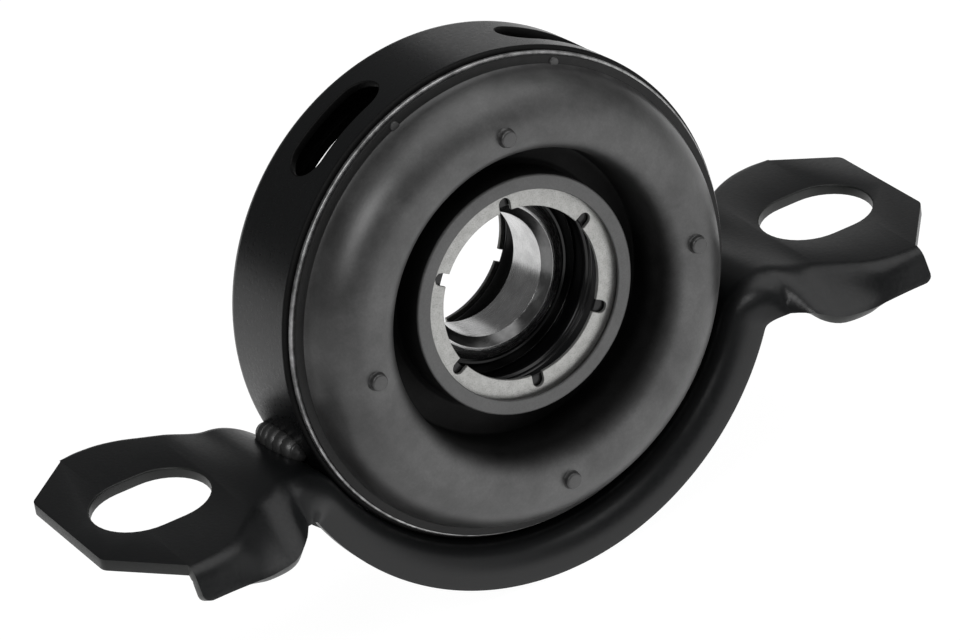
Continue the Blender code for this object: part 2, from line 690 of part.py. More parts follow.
def make_bracket(material):
    """Half of the stamped sheet as one surface, mirrored, thickened and slotted."""
    shape = bmesh.new()
    rows = []
    for point, outwards, front, rear, slope in bracket_stations():
        rows.append(bracket_row(shape, point, outwards, rim_points(front), rim_points(rear), slope))
    for first, second in zip(rows, rows[1:]):
        join_rows(shape, first, second)
    tip = Vector((EAR_TIP_X, -EAR_DROP))
    tip_row = bracket_row(shape, tip, Vector((0, -1)), [(EAR_TIP_FRONT, 0)], [(EAR_TIP_REAR, 0)], EAR_SLOPE)
    join_rows(shape, rows[-1][FLANGE_COLUMNS:-FLANGE_COLUMNS], tip_row)
    for vertex in rows[0]:
        vertex.co.x = 0
    mesh = bpy.data.meshes.new("bracket")
    shape.to_mesh(mesh)
    shape.free()
    bracket = add_object("bracket", mesh, material)
    mirror = bracket.modifiers.new("mirror", "MIRROR")
    mirror.merge_threshold = 0.00001
    solid = bracket.modifiers.new("sheet", "SOLIDIFY")
    solid.thickness = SHEET
    solid.offset = 1
    solid.use_even_offset = True
    placements = []
    for side in (-1, 1):
        place = RING_AXIS + Vector((side * MOUNT_SLOT_SPACING / 2, BRACKET_MIDDLE_Y, -EAR_DROP - SHEET / 2))
        placements.append(Matrix.Translation(place) @ Matrix.Rotation(math.atan(EAR_SLOPE), 4, "X"))
    outline = slot_outline(MOUNT_SLOT_LENGTH, MOUNT_SLOT_WIDTH)
    cut(bracket, prism_cutter("mount_slots", outline, SHEET * 4, placements))
    bake(bracket)
    smooth(bracket)
    return bracket


def make_weld(name, side, material):
    """Rippled bead in the groove between the ring and the bracket's bend."""
    outline = [Vector((0, BEAD_LENGTH / 2))]
    steps = BEAD_RIPPLES * RIPPLE_STEPS
    for step in range(1, steps):
        share = step / steps
        taper = math.sqrt(math.sin(math.pi * share))
        ripple = BEAD_RIPPLE_DEPTH * abs(math.sin(math.pi * BEAD_RIPPLES * share))
        radius = (BEAD_RADIUS - BEAD_RIPPLE_DEPTH) * taper + ripple
        outline.append(Vector((radius, BEAD_LENGTH * (0.5 - share))))
    outline.append(Vector((0, -BEAD_LENGTH / 2)))
    touch = Vector((STRAP_RADIUS * math.cos(BEND_ANGLE), -STRAP_RADIUS * math.sin(BEND_ANGLE)))
    along = Vector((math.sin(BEND_ANGLE), math.cos(BEND_ANGLE)))
    seat = touch + along * BEAD_LIFT
    centre = RING_AXIS + Vector((side * seat.x, BEAD_MIDDLE_Y, seat.y))
    bead = turned(name, outline, BEAD_FACETS, material, centre, closed=False)
    return bead


def make_weld_cutters():
    """The room that the ring and the two bends take from the beads."""
    far = BEAD_LENGTH
    ring_room = [
        Vector((0, BEAD_MIDDLE_Y + far)),
        Vector((STRAP_RADIUS, BEAD_MIDDLE_Y + far)),
        Vector((STRAP_RADIUS, BEAD_MIDDLE_Y - far)),
        Vector((0, BEAD_MIDDLE_Y - far)),
    ]
    shrink = (EAR_BEND_RADIUS + SEAT_GAP) / STRAP_RADIUS
    bend_room = [Vector((point.x * shrink, point.y)) for point in ring_room]
    ring = turned("weld_ring_room", ring_room, 4 * RING_FACETS, None, RING_AXIS, False, True)
    bends = []
    for side in (-1, 1):
        centre = RING_AXIS + Vector((side * BEND_CENTRE_X, 0, BEND_CENTRE_Z))
        bends.append(turned(f"weld_bend_room_{side}", bend_room, RING_FACETS, None, centre, False, True))
    return ring, bends


def make_welds(material):
    ring, bends = make_weld_cutters()
    for name, side, bend in (("weld_bead_left", -1, bends[0]), ("weld_bead_right", 1, bends[1])):
        bead = make_weld(name, side, material)
        cut(bead, ring)
        cut(bead, bend)


def main():
    start_scene()
    black_paint = finish("black_paint", (0.012, 0.013, 0.014), 0.45, 0.0)
    rubber = finish("black_rubber", (0.035, 0.035, 0.036), 0.65, 0.0)
    seal_rubber = finish("seal_rubber", (0.008, 0.008, 0.009), 0.3, 0.0)
    bare_steel = finish("bare_steel", (0.45, 0.45, 0.44), 0.4, 1.0)
    zinc_steel = finish("zinc_steel", (0.62, 0.62, 0.60), 0.45, 1.0)
    ground_steel = finish("ground_steel", (0.7, 0.7, 0.7), 0.2, 1.0)
    polyamide = finish("polyamide", (0.08, 0.075, 0.07), 0.5, 0.0)
    make_bracket(black_paint)
    make_ring(black_paint)
    make_welds(black_paint)
    make_flange_ring(bare_steel)
    make_cushion(rubber)
    make_sleeve(bare_steel)
    for place, side in (("front", -1), ("rear", 1)):
        make_retainer(f"{place}_retainer", side, zinc_steel)
        make_dust_seal(f"{place}_dust_seal", side, seal_rubber)
        make_bearing_seal(f"{place}_bearing_seal", side, seal_rubber)
    make_outer_race(ground_steel)
    make_inner_race(ground_steel)
    make_cage(polyamide)
    make_balls(ground_steel)


main()
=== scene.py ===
"""Looks of a drive axle support: a ball bearing in a rubber cushion, inside a steel ring on a stamped saddle.

Sizes are in metres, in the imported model's frame: the bearing's axis is Y, its centre is the origin, the front
faces -Y and the ears reach out along X. The ring's own axis lies a little below the bearing's.
"""

import math

import bmesh
import bpy
from mathutils import Matrix, Vector


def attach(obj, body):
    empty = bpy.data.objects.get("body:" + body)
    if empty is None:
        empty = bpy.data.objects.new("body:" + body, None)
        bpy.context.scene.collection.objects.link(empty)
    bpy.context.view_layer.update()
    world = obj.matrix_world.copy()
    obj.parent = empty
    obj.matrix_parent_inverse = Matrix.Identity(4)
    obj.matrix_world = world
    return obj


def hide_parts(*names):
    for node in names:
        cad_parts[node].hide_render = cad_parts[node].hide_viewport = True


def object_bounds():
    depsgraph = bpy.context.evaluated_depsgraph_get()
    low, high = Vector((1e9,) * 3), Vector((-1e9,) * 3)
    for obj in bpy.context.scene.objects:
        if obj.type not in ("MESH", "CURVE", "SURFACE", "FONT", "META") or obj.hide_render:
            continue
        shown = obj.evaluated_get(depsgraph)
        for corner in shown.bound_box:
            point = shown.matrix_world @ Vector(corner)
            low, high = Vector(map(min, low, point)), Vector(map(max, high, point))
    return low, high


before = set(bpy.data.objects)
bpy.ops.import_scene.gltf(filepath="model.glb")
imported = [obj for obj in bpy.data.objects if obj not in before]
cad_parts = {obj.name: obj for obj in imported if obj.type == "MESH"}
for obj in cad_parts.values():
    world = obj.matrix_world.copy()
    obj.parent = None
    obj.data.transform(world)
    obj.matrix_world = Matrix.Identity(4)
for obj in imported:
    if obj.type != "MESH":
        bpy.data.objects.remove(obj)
cad_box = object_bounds()

# Ball bearing
BORE_RADIUS = 0.015
BEARING_RADIUS = 0.026
BEARING_WIDTH = 0.013
INNER_RACE_WIDTH = 0.0158
CHAMFER_DEPTH = 0.0018
CHAMFER_HEIGHT = 0.0022
RACE_FACE_WIDTH = 0.0006
FLINGER_RADIUS = 0.0203
FLINGER_DROP = 0.0012
BALL_RADIUS = 0.00355
BALL_CLEARANCE = 0.0003
BALL_COUNT = 11
PITCH_RADIUS = (BORE_RADIUS + BEARING_RADIUS) / 2
INNER_SHOULDER = PITCH_RADIUS - 0.0023
OUTER_SHOULDER = PITCH_RADIUS + 0.0023
SEAL_INNER = INNER_SHOULDER + 0.0003
SEAL_OUTER = OUTER_SHOULDER + 0.0018
SEAL_BACK = 0.0057
SEAL_RIDGE_RADIUS = 0.0215
CAGE_WALL = 0.0026
CAGE_PRONG = 0.0016
CAGE_BACK = 0.00505

# Inner sleeve with its retainers, dust seals and rubber skin
SLEEVE_INNER = 0.0263
SLEEVE_OUTER = 0.0275
SLEEVE_HALF = 0.0227
RETAINER_FACE = 0.02205
RETAINER_THICKNESS = 0.001
RETAINER_EYE = 0.0207
RETAINER_SKIRT = 0.005
NOTCH_COUNT = 6
NOTCH_WIDTH = 0.003
NOTCH_REACH = 0.0033
DUST_WALL_RADIUS = 0.024
DUST_LIP_RADIUS = 0.0214
DUST_SKIRT_RADIUS = 0.0247
DUST_FRONT = 0.02075
DUST_STEP = 0.01675
DUST_BACK = 0.0068
DUST_RIB_MIDDLE = 0.0118
SKIN_INNER = 0.0278
SKIN_OUTER = 0.0286
LIP_INNER_Y = 0.023
LIP_OUTER_Y = 0.0238
LIP_EYE = 0.0251
LIP_EDGE = 0.0006

# Steel ring
RING_AXIS = Vector((0, 0, -0.0025))
RING_RADIUS = 0.0589
RING_INNER = 0.0569
RING_FRONT_Y = -0.0152
RING_REAR_Y = 0.011
RING_WALL = 0.002
REAR_OPENING = 0.0477
REAR_STEP_RADIUS = 0.0504
REAR_STEP = 0.0008
RING_SLOT_TURN = math.radians(30)
RING_SLOT_LENGTH = 0.0275
RING_SLOT_WIDTH = 0.0113
RING_SLOT_Y = -0.003
# Width of the band of painted shade at the ring's front edge
RING_PAINTED_SHADE_EDGE = 0.0006

# Flanged ring that holds the cushion
FLANGE_RADIUS = 0.0579
FLANGE_FRONT_Y = -0.0168
FLANGE_BACK_Y = -0.0155
FLANGE_TUBE_RADIUS = 0.0566
FLANGE_EYE = 0.0553
FLANGE_TUBE_END = -0.0077

# Rubber cushion
RIM_RADIUS = 0.055
RIM_OUTER = 0.05725
RIM_BACK_Y = -0.0171
RIM_EDGE_Y = -0.0177
RIM_FRONT_Y = -0.0179
CREST = Vector((0.0435, -0.029))
WALL_TOP = Vector((0.0362, -0.0245))
CREASE = Vector((0.0354, -0.0140))
SHOULDER_Y = -0.0134
SHOULDER_FOOT = 0.0012
ROLL_HEIGHT = 0.0122
ROLL_WALL = 0.0032
BEARING_RISE = 0.0025
RIGID_FOOT = 0.0014
PIP_COUNT = 4
PIP_RADIUS = 0.0020
PIP_HEIGHT = 0.0015
MOULD_MARK_TURN = math.radians(22.5)
MOULD_MARK_RADIUS = 0.0556

# Stamped bracket. A rim is half the flat web, how far its flange reaches out and turns down,
# and the radius of its fold.
SHEET = 0.0028
STRAP_RADIUS = 0.0592
BRACKET_MIDDLE_Y = -0.0025
EAR_DROP = 0.0185
EAR_BEND_RADIUS = 0.0155
EAR_SLOPE = 0.09
EAR_SLOPE_RUN = 0.010
EAR_SHOULDER_X = 0.0998
EAR_TIP_X = 0.1132
EAR_TIP_FRONT = 0.0147
EAR_TIP_REAR = 0.0180
TIP_ROUND = 0.0030
FLAP_ROUND = 0.0022
MOUNT_SLOT_X = 0.0925
MOUNT_SLOT_LENGTH = 0.0286
MOUNT_SLOT_WIDTH = 0.0228
STRAP_RIM = (0.0125, 0.0073, 0.0100, 0.0073)
# Rims along the ear, each after its share of the way from the end of the bend to the shoulder
FRONT_RIMS = (
    (0.0, (0.0138, 0.0105, 0.0094, 0.0092)),
    (0.105, (0.0150, 0.0148, 0.0084, 0.0110)),
    (0.255, (0.0174, 0.0161, 0.0080, 0.0105)),
    (0.465, (0.0232, 0.0119, 0.0080, 0.0080)),
    (0.615, (0.0275, 0.0077, 0.0078, 0.0056)),
    (0.8, (0.0298, 0.0056, 0.0075, 0.0040)),
    (1.0, (0.0304, 0.0053, 0.0073, 0.0035)),
)
REAR_RIMS = (
    (0.0, (0.0186, 0.0060, 0.0110, 0.0060)),
    (0.225, (0.0206, 0.0050, 0.0070, 0.0045)),
    (0.405, (0.0240, 0.0047, 0.0064, 0.0040)),
    (0.555, (0.0269, 0.0045, 0.0058, 0.0040)),
    (0.705, (0.0287, 0.0045, 0.0056, 0.0040)),
    (0.86, (0.0293, 0.0038, 0.0044, 0.0040)),
    (1.0, (0.0294, 0.0016, 0.0010, 0.0040)),
)
BEND_ANGLE = math.asin((EAR_DROP + EAR_BEND_RADIUS) / (STRAP_RADIUS + EAR_BEND_RADIUS))
BEND_CENTRE = Vector(((STRAP_RADIUS + EAR_BEND_RADIUS) * math.cos(BEND_ANGLE), -EAR_DROP - EAR_BEND_RADIUS))
BEND_TURN = math.pi / 2 - BEND_ANGLE
PRESS_ROUND = 0.0004

# Weld beads
BEAD_RADIUS = 0.0042
BEAD_LENGTH = 0.0185
BEAD_RIPPLES = 6
BEAD_RIPPLE_DEPTH = 0.0007
BEAD_LIFT = 0.0076
BEAD_MIDDLE_Y = 0.0015
BEAD_SINK = 0.0005
BEAD_LAG = 0.045

# Slack in comparisons of places
SLACK = 0.0001

# How finely each form is drawn
BEAD_STATIONS = 96
BEAD_FACETS = 40
RING_FACETS = 240
SLEEVE_FACETS = 160
PIP_FACETS = 48
MARK_FACETS = 32
ARC_STEPS = 5
ROLL_STEPS = 24
WALL_STEPS = 6
GROOVE_STEPS = 12
STRAP_STEPS = 48
BEND_STEPS = 18
EAR_STEPS = 32
FLANGE_COLUMNS = 9
TIP_STEPS = 8
SLOT_STEPS = 20

# Patterns in the materials: how large their features are in millimetres, and how deep in metres
DRIFT_MM = 26
PEEL_MM = 0.9
PEEL_DEPTH = 0.00004
BLOOM_MM = 12
ROLLING_MM = 0.35
GRIT_MM = 0.32
MARK_DEPTH = 0.00002

# Painted shade deep beside the hub: what is left of the rubber's tone and gloss there, and how far in the
# change runs
PAINTED_SHADE_LEVEL = 0.15
PAINTED_SHADE_RUN = 0.0055

# Studio. A lamp is its name, its place, its size in metres and its power in watts, and faces the bearing.
FLOOR_SIZE = 6.0
FLOOR_GAP = 0.0003
FLOOR_SEEN = 0.86
FLOOR_WHITE = 1.14
ROOM_LIGHT = 0.035
ROOM_REFLECTION = 0.14
LAMPS = (
    ("table_softbox", (0.56, -0.92, -0.5), 0.7, 8),
    ("overhead_softbox", (0.3, -0.3, 1.1), 1.2, 8),
    ("side_softbox", (1.0, -0.8, 0.35), 0.9, 1.6),
    ("left_softbox", (-0.83, -0.57, 0.82), 0.5, 5.5),
    ("rear_card", (0.8, 1.0, 0.4), 0.6, 0.6),
)

# The photograph's camera
PHOTO_LENS = 187.5
PHOTO_SENSOR = 36.0
CAMERA_PLACE = (-0.47864452, -0.94107834, 0.47487499)
CAMERA_RIGHT = Vector((0.8379145, -0.5167747, -0.1756223))
CAMERA_UP = Vector((0.3591080, 0.2796699, 0.8904079))
CAMERA_FORWARD = Vector((0.4110240, 0.8091530, -0.4199174))


def colour(code):
    """Linear colour of an sRGB hex value."""
    shares = [int(code[i : i + 2], 16) / 255 for i in (1, 3, 5)]
    return (*(s / 12.92 if s <= 0.04045 else ((s + 0.055) / 1.055) ** 2.4 for s in shares), 1)


def per_mm(size):
    """Scale of a pattern whose features are this many millimetres across."""
    return 1000 / size


def set_inputs(tree, node, inputs):
    """Sets each of the node's inputs to a value, or links it from a socket."""
    for name, value in inputs.items():
        if isinstance(value, bpy.types.NodeSocket):
            tree.links.new(value, node.inputs[name])
        else:
            node.inputs[name].default_value = value


def add(tree, kind, settings=None, inputs=None, stops=None):
    """Adds a node, with its settings, its inputs and the stops of its colour ramp."""
    made = tree.nodes.new(kind)
    for name, value in (settings or {}).items():
        setattr(made, name, value)
    set_inputs(tree, made, inputs or {})
    if stops:
        ramp = made.color_ramp.elements
        while len(ramp) < len(stops):
            ramp.new(0.5)
        for element, (place, code) in zip(ramp, stops):
            element.position = place
            element.color = colour(code)
    return made


def maths(tree, operation, *values):
    """The outcome of an operation on values or sockets."""
    return add(tree, "ShaderNodeMath", {"operation": operation}, dict(enumerate(values))).outputs[0]


def vector(tree, operation, inputs, output=0):
    """The outcome of an operation on vectors."""
    return add(tree, "ShaderNodeVectorMath", {"operation": operation}, inputs).outputs[output]


def noise(tree, place, scale, detail, roughness=0.5):
    """Cloudy noise, mostly near a half."""
    inputs = {"Vector": place, "Scale": scale, "Detail": detail, "Roughness": roughness}
    return add(tree, "ShaderNodeTexNoise", inputs=inputs).outputs["Fac"]


def remap(tree, value, low, high, start=0.0, end=1.0, curve="LINEAR"):
    """The value, moved from the range start to end onto the range low to high."""
    inputs = {"Value": value, "From Min": start, "From Max": end, "To Min": low, "To Max": high}
    return add(tree, "ShaderNodeMapRange", {"interpolation_type": curve}, inputs).outputs["Result"]


def two_tone(tree, value, dark, light, spread):
    """A colour that runs from dark to light within this spread on either side of a half."""
    stops = [(0.5 - spread, dark), (0.5 + spread, light)]
    return add(tree, "ShaderNodeValToRGB", inputs={"Fac": value}, stops=stops).outputs["Color"]


def dim(tree, tone, share):
    """The tone, times a share."""
    return vector(tree, "SCALE", {0: tone, "Scale": share})


def bump(tree, height, strength, distance):
    """The normal of a surface with this height on it."""
    inputs = {"Height": height, "Strength": strength, "Distance": distance}
    return add(tree, "ShaderNodeBump", inputs=inputs).outputs["Normal"]


def off_axis(tree, place):
    """How far along Y the place lies, the vector to it from the Y axis, and that vector's length."""
    split = add(tree, "ShaderNodeSeparateXYZ", inputs={0: place}).outputs
    flat = add(tree, "ShaderNodeCombineXYZ", inputs={"X": split["X"], "Z": split["Z"]}).outputs[0]
    return split["Y"], flat, vector(tree, "LENGTH", {0: flat}, "Value")


def start_material(name):
    """A material with its tree, its shader and the position on the piece."""
    made = bpy.data.materials.new(name)
    made.use_nodes = True
    tree = made.node_tree
    place = add(tree, "ShaderNodeTexCoord").outputs["Object"]
    return made, tree, tree.nodes["Principled BSDF"], place


def around_axis(tree, place, along, across):
    """Coordinates that run slowly round the Y axis and fast across it, for turning marks."""
    height, flat, radius = off_axis(tree, place)
    slow = vector(tree, "SCALE", {0: vector(tree, "NORMALIZE", {0: flat}), "Scale": along})
    fast = maths(tree, "MULTIPLY", maths(tree, "ADD", radius, height), across)
    lift = add(tree, "ShaderNodeCombineXYZ", inputs={"Y": fast}).outputs[0]
    return vector(tree, "ADD", {0: slow, 1: lift})


def enamel(name, dark, light, rough, gloss):
    """Satin black stove enamel on steel: near black, with an orange-peel skin and a soft sheen at bends."""
    made, tree, shader, place = start_material(name)
    drift = noise(tree, place, per_mm(DRIFT_MM), 3.0)
    peel = noise(tree, place, per_mm(PEEL_MM), 2.0)
    inputs = {
        "Base Color": two_tone(tree, drift, dark, light, 0.2),
        "Roughness": remap(tree, peel, rough - 0.09, rough + 0.09),
        "Specular IOR Level": gloss,
        "Normal": bump(tree, peel, 0.6, PEEL_DEPTH),
    }
    set_inputs(tree, shader, inputs)
    return made


def rubber(name, dark, light, rough, gloss, grain, depth, painted_shade_inside=0.0):
    """Moulded rubber: fine grain and a cloudy bloom, with painted shade inside the given radius, where it turns
    blacker and duller.
    """
    made, tree, shader, place = start_material(name)
    radius = off_axis(tree, place)[2]
    # Painted shade: tone and gloss fall off inside the radius, towards the hub.
    lit = remap(tree, radius, PAINTED_SHADE_LEVEL, 1.0, painted_shade_inside - PAINTED_SHADE_RUN, painted_shade_inside, "SMOOTHSTEP")
    bloom = noise(tree, place, per_mm(BLOOM_MM), 8.0, 0.7)
    pores = noise(tree, place, per_mm(grain), 3.0)
    level = maths(tree, "MULTIPLY", remap(tree, pores, 0.6, 1.4), lit)
    inputs = {
        "Base Color": dim(tree, two_tone(tree, bloom, dark, light, 0.18), level),
        "Roughness": remap(tree, lit, rough + 0.3, rough, PAINTED_SHADE_LEVEL, 1.0),
        "Specular IOR Level": maths(tree, "MULTIPLY", lit, gloss),
        "Normal": bump(tree, pores, 0.4, depth),
    }
    set_inputs(tree, shader, inputs)
    return made


def steel(name, dark, light, rough, patch, along=0.0, across=0.0, streak=0.0, speckle=0.0):
    """Bare or plated steel: patches of tone, marks where it is turned and specks where it is plated."""
    made, tree, shader, place = start_material(name)
    clouds = noise(tree, place, per_mm(patch), 6.0)
    if across:
        marks = noise(tree, around_axis(tree, place, along, across), 1.0, 4.0)
    else:
        marks = noise(tree, place, per_mm(ROLLING_MM), 4.0)
    specks = remap(tree, noise(tree, place, per_mm(GRIT_MM), 2.0), 1 - speckle, 1.0, 0.3, 0.5)
    streaks = remap(tree, marks, 1 - streak, 1.0, 0.3, 0.7)
    level = maths(tree, "MULTIPLY", specks, streaks)
    inputs = {
        "Base Color": dim(tree, two_tone(tree, clouds, dark, light, 0.15), level),
        "Metallic": 1.0,
        "Roughness": remap(tree, marks, rough - 0.06, rough + 0.06),
        "Normal": bump(tree, marks, 0.25, MARK_DEPTH),
    }
    set_inputs(tree, shader, inputs)
    return made


def pale_floor():
    """White paper: pure white to the eye and in reflections, and still darkened a little by the shadow."""
    made, tree, shader, _ = start_material("white_paper_floor")
    set_inputs(tree, shader, {"Base Color": colour("#e6e6e6"), "Roughness": 0.9, "Specular IOR Level": 0.1})
    path = add(tree, "ShaderNodeLightPath").outputs
    seen = maths(tree, "MAXIMUM", path["Is Camera Ray"], path["Is Glossy Ray"])
    seen = maths(tree, "MAXIMUM", seen, path["Is Transmission Ray"])
    white = add(tree, "ShaderNodeEmission", inputs={"Color": colour("#ffffff"), "Strength": FLOOR_WHITE})
    share = maths(tree, "MULTIPLY", seen, FLOOR_SEEN)
    both = add(tree, "ShaderNodeMixShader", inputs={0: share, 1: shader.outputs[0], 2: white.outputs[0]})
    tree.links.new(both.outputs[0], tree.nodes["Material Output"].inputs["Surface"])
    return made


def rounded(corners, steps=ARC_STEPS):
    """A closed outline from corners (radius, y, fillet), each fillet drawn as an arc."""
    points = []
    for index, (radius, y, fillet) in enumerate(corners):
        corner = Vector((radius, y))
        if not fillet:
            points.append(corner)
            continue
        back = (Vector(corners[index - 1][:2]) - corner).normalized()
        ahead = (Vector(corners[(index + 1) % len(corners)][:2]) - corner).normalized()
        half = back.angle(ahead) / 2
        centre = corner + (back + ahead).normalized() * (fillet / math.sin(half))
        arm = corner + back * (fillet / math.tan(half)) - centre
        turn = (math.pi - 2 * half) * (1 if back.cross(ahead) < 0 else -1)
        for step in range(steps + 1):
            points.append(centre + Matrix.Rotation(turn * step / steps, 2) @ arm)
    return points


def on_side(side, corners):
    """The corners as they are for side 1, at the rear, or mirrored to the front for side -1."""
    return [(radius, side * y, fillet) for radius, y, fillet in corners]


def bezier(start, pull, push, end, steps):
    """Points of a cubic curve, without its first point."""
    points = []
    for step in range(1, steps + 1):
        t = step / steps
        first_half = start * (1 - t) ** 3 + pull * 3 * t * (1 - t) ** 2
        points.append(first_half + push * 3 * t * t * (1 - t) + end * t**3)
    return points


def turned(outline, facets):
    """Mesh of a ring turned about Y, from a closed outline of (radius, y) points."""
    shape = bmesh.new()
    rows = []
    for facet in range(facets):
        angle = 2 * math.pi * facet / facets
        heading = (math.sin(angle), math.cos(angle))
        rows.append([shape.verts.new((p[0] * heading[0], p[1], p[0] * heading[1])) for p in outline])
    for first, second in zip(rows, rows[1:] + rows[:1]):
        for index in range(len(outline)):
            ahead = (index + 1) % len(outline)
            shape.faces.new((first[index], first[ahead], second[ahead], second[index]))
    bmesh.ops.remove_doubles(shape, verts=shape.verts, dist=1e-7)
    bmesh.ops.recalc_face_normals(shape, faces=shape.faces)
    return shape


def add_mesh(name, shape, finishes=()):
    """An object in the scene from a mesh under construction, which it uses up."""
    mesh = bpy.data.meshes.new(name)
    shape.to_mesh(mesh)
    shape.free()
    obj = bpy.data.objects.new(name, mesh)
    bpy.context.scene.collection.objects.link(obj)
    for finish in finishes:
        mesh.materials.append(finish)
    return obj


def bake(obj):
    """Replaces the object's mesh by what its modifiers make of it."""
    bpy.context.view_layer.update()
    graph = bpy.context.evaluated_depsgraph_get()
    mesh = bpy.data.meshes.new_from_object(obj.evaluated_get(graph))
    obj.modifiers.clear()
    obj.data = mesh


def cut(obj, *cutters):
    """Takes the cutters away from the object, for good."""
    for cutter in cutters:
        boolean = obj.modifiers.new("cut", "BOOLEAN")
        boolean.object = cutter
        boolean.solver = "EXACT"
    bake(obj)
    for cutter in cutters:
        bpy.data.objects.remove(cutter)


def seat(obj, nodes, body="support", centre=(0, 0, 0), sharp=35):
    """Puts a finished piece in place of its CAD nodes, on their body."""
    obj.location = centre
    obj.data.shade_smooth()
    obj.data.set_sharp_from_angle(angle=math.radians(sharp))
    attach(obj, body)
    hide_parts(*nodes.split())
    return obj


def slot_outline(length, width, steps):
    """A slot with round ends, long along its first axis, with points along its straights too."""
    straight = (length - width) / 2
    points = []
    for side in (1, -1):
        for step in range(steps + 1):
            angle = -math.pi / 2 + math.pi * step / steps
            along = straight + width / 2 * math.cos(angle)
            points.append((side * along, side * width / 2 * math.sin(angle)))
        for step in range(1, steps):
            points.append((side * straight * (1 - 2 * step / steps), side * width / 2))
    return points


def slot_punch(name, length, width, layers, places, steps=SLOT_STEPS):
    """A punch for slots with rounded rims, built up in layers.

    A layer is its height, as a function of the distance along the slot, and how much the slot grows there.
    """
    shape = bmesh.new()
    for place in places:
        rings = []
        for height, growth in layers:
            outline = slot_outline(length + 2 * growth, width + 2 * growth, steps)
            rings.append([shape.verts.new(place @ Vector((x, y, height(x)))) for x, y in outline])
        for lower, upper in zip(rings, rings[1:]):
            for index in range(len(lower)):
                shape.faces.new((lower[index - 1], lower[index], upper[index], upper[index - 1]))
        shape.faces.new(rings[0])
        shape.faces.new(rings[-1])
    bmesh.ops.recalc_face_normals(shape, faces=shape.faces)
    return add_mesh(name, shape)


def line_punch(punch, outer_finish, cut_finish):
    """Makes the walls that the punch leaves take the second of the two finishes."""
    punch.data.materials.append(outer_finish)
    punch.data.materials.append(cut_finish)
    for face in punch.data.polygons:
        face.material_index = 1


def flat_layers(half, rim, reach, steps=4):
    """Layers of a punch through a flat sheet of this half thickness, whose two rims it rounds."""
    layers = [(-reach, rim), (-half, rim)]
    for step in range(1, steps + 1):
        angle = math.pi / 2 * step / steps
        layers.append((-half + rim * (1 - math.cos(angle)), rim * (1 - math.sin(angle))))
    layers += [(-height, growth) for height, growth in reversed(layers)]
    return [((lambda x, height=height: height), growth) for height, growth in layers]


def about_y(angle):
    """Turns the upright direction towards +X by the angle."""
    return Matrix.Rotation(angle, 4, "Y")


def around(count):
    """Turns that spread this many things evenly about Y, with the first at the top."""
    return [about_y(2 * math.pi * index / count) for index in range(count)]


def ease(share):
    """A share from 0 to 1 that starts and ends gently."""
    share = min(max(share, 0), 1)
    return share * share * (3 - 2 * share)


def blend(first, second, share):
    """Values a share of the way from the first ones to the second ones."""
    return tuple(a + (b - a) * share for a, b in zip(first, second))


def make_ring(finish, painted_shade_finish):
    """Deep-drawn ring with a rounded rear corner, a step pressed into its rear wall and two long slots. Its
    inside, the slots' walls and a thin band at its front edge take a blacker enamel, as painted shade.
    """
    back, inside = RING_REAR_Y, RING_REAR_Y - RING_WALL
    outline = rounded(
        [
            (RING_RADIUS, RING_FRONT_Y, 0.0009),
            (RING_RADIUS, back, 0.003),
            (REAR_STEP_RADIUS + 0.0004, back, 0.0004),
            (REAR_STEP_RADIUS - 0.0004, back - REAR_STEP, 0.0004),
            (REAR_OPENING, back - REAR_STEP, 0.0005),
            (REAR_OPENING, inside - REAR_STEP, 0.0005),
            (REAR_STEP_RADIUS - 0.0002, inside - REAR_STEP, 0.0003),
            (REAR_STEP_RADIUS + 0.0002, inside, 0.0003),
            (RING_INNER, inside, 0.001),
            (RING_INNER, RING_FRONT_Y, 0.0004),
        ]
    )
    ring = add_mesh("ring_shell", turned(outline, RING_FACETS), [finish, painted_shade_finish])
    # Painted shade: blacker enamel on the inside and on a thin band at the front edge.
    for face in ring.data.polygons:
        hollow = math.hypot(face.center.x, face.center.z) < RING_INNER + SLACK and face.center.y < inside
        face.material_index = hollow or face.center.y < RING_FRONT_Y + RING_PAINTED_SHADE_EDGE
    rim = PRESS_ROUND
    layers = [(lambda x: RING_INNER - 0.006, rim)]
    for radius, growth in (
        (RING_INNER, rim),
        (RING_INNER + rim * 0.3, rim * 0.3),
        (RING_INNER + rim, 0),
        (RING_RADIUS - rim, 0),
        (RING_RADIUS - rim * 0.6, rim * 0.08),
        (RING_RADIUS - rim * 0.3, rim * 0.3),
        (RING_RADIUS, rim),
    ):
        layers.append((lambda x, radius=radius: math.sqrt(radius * radius - x * x), growth))
    layers.append((lambda x: RING_RADIUS + 0.005, rim))
    middle = Matrix.Translation((0, RING_SLOT_Y, 0))
    places = [middle @ about_y(turn) for turn in (-RING_SLOT_TURN, RING_SLOT_TURN)]
    punch = slot_punch("ring_slots", RING_SLOT_LENGTH, RING_SLOT_WIDTH, layers, places)
    # Painted shade: the slots' walls take the blacker enamel.
    line_punch(punch, finish, painted_shade_finish)
    cut(ring, punch)
    seat(ring, "outer_ring", centre=RING_AXIS)
    round_normals(ring.data)


def round_normals(mesh):
    """Radial normals on the drum, so that the slots leave no streaks in the sheen beside them."""
    normals = [corner.vector.copy() for corner in mesh.corner_normals]
    for face in mesh.polygons:
        outwards = Vector((face.center.x, 0, face.center.z))
        if outwards.length > RING_RADIUS - SLACK and face.normal.dot(outwards.normalized()) > 0.995:
            for loop in face.loop_indices:
                place = mesh.vertices[mesh.loops[loop].vertex_index].co
                normals[loop] = Vector((place.x, 0, place.z)).normalized()
    mesh.normals_split_custom_set(normals)


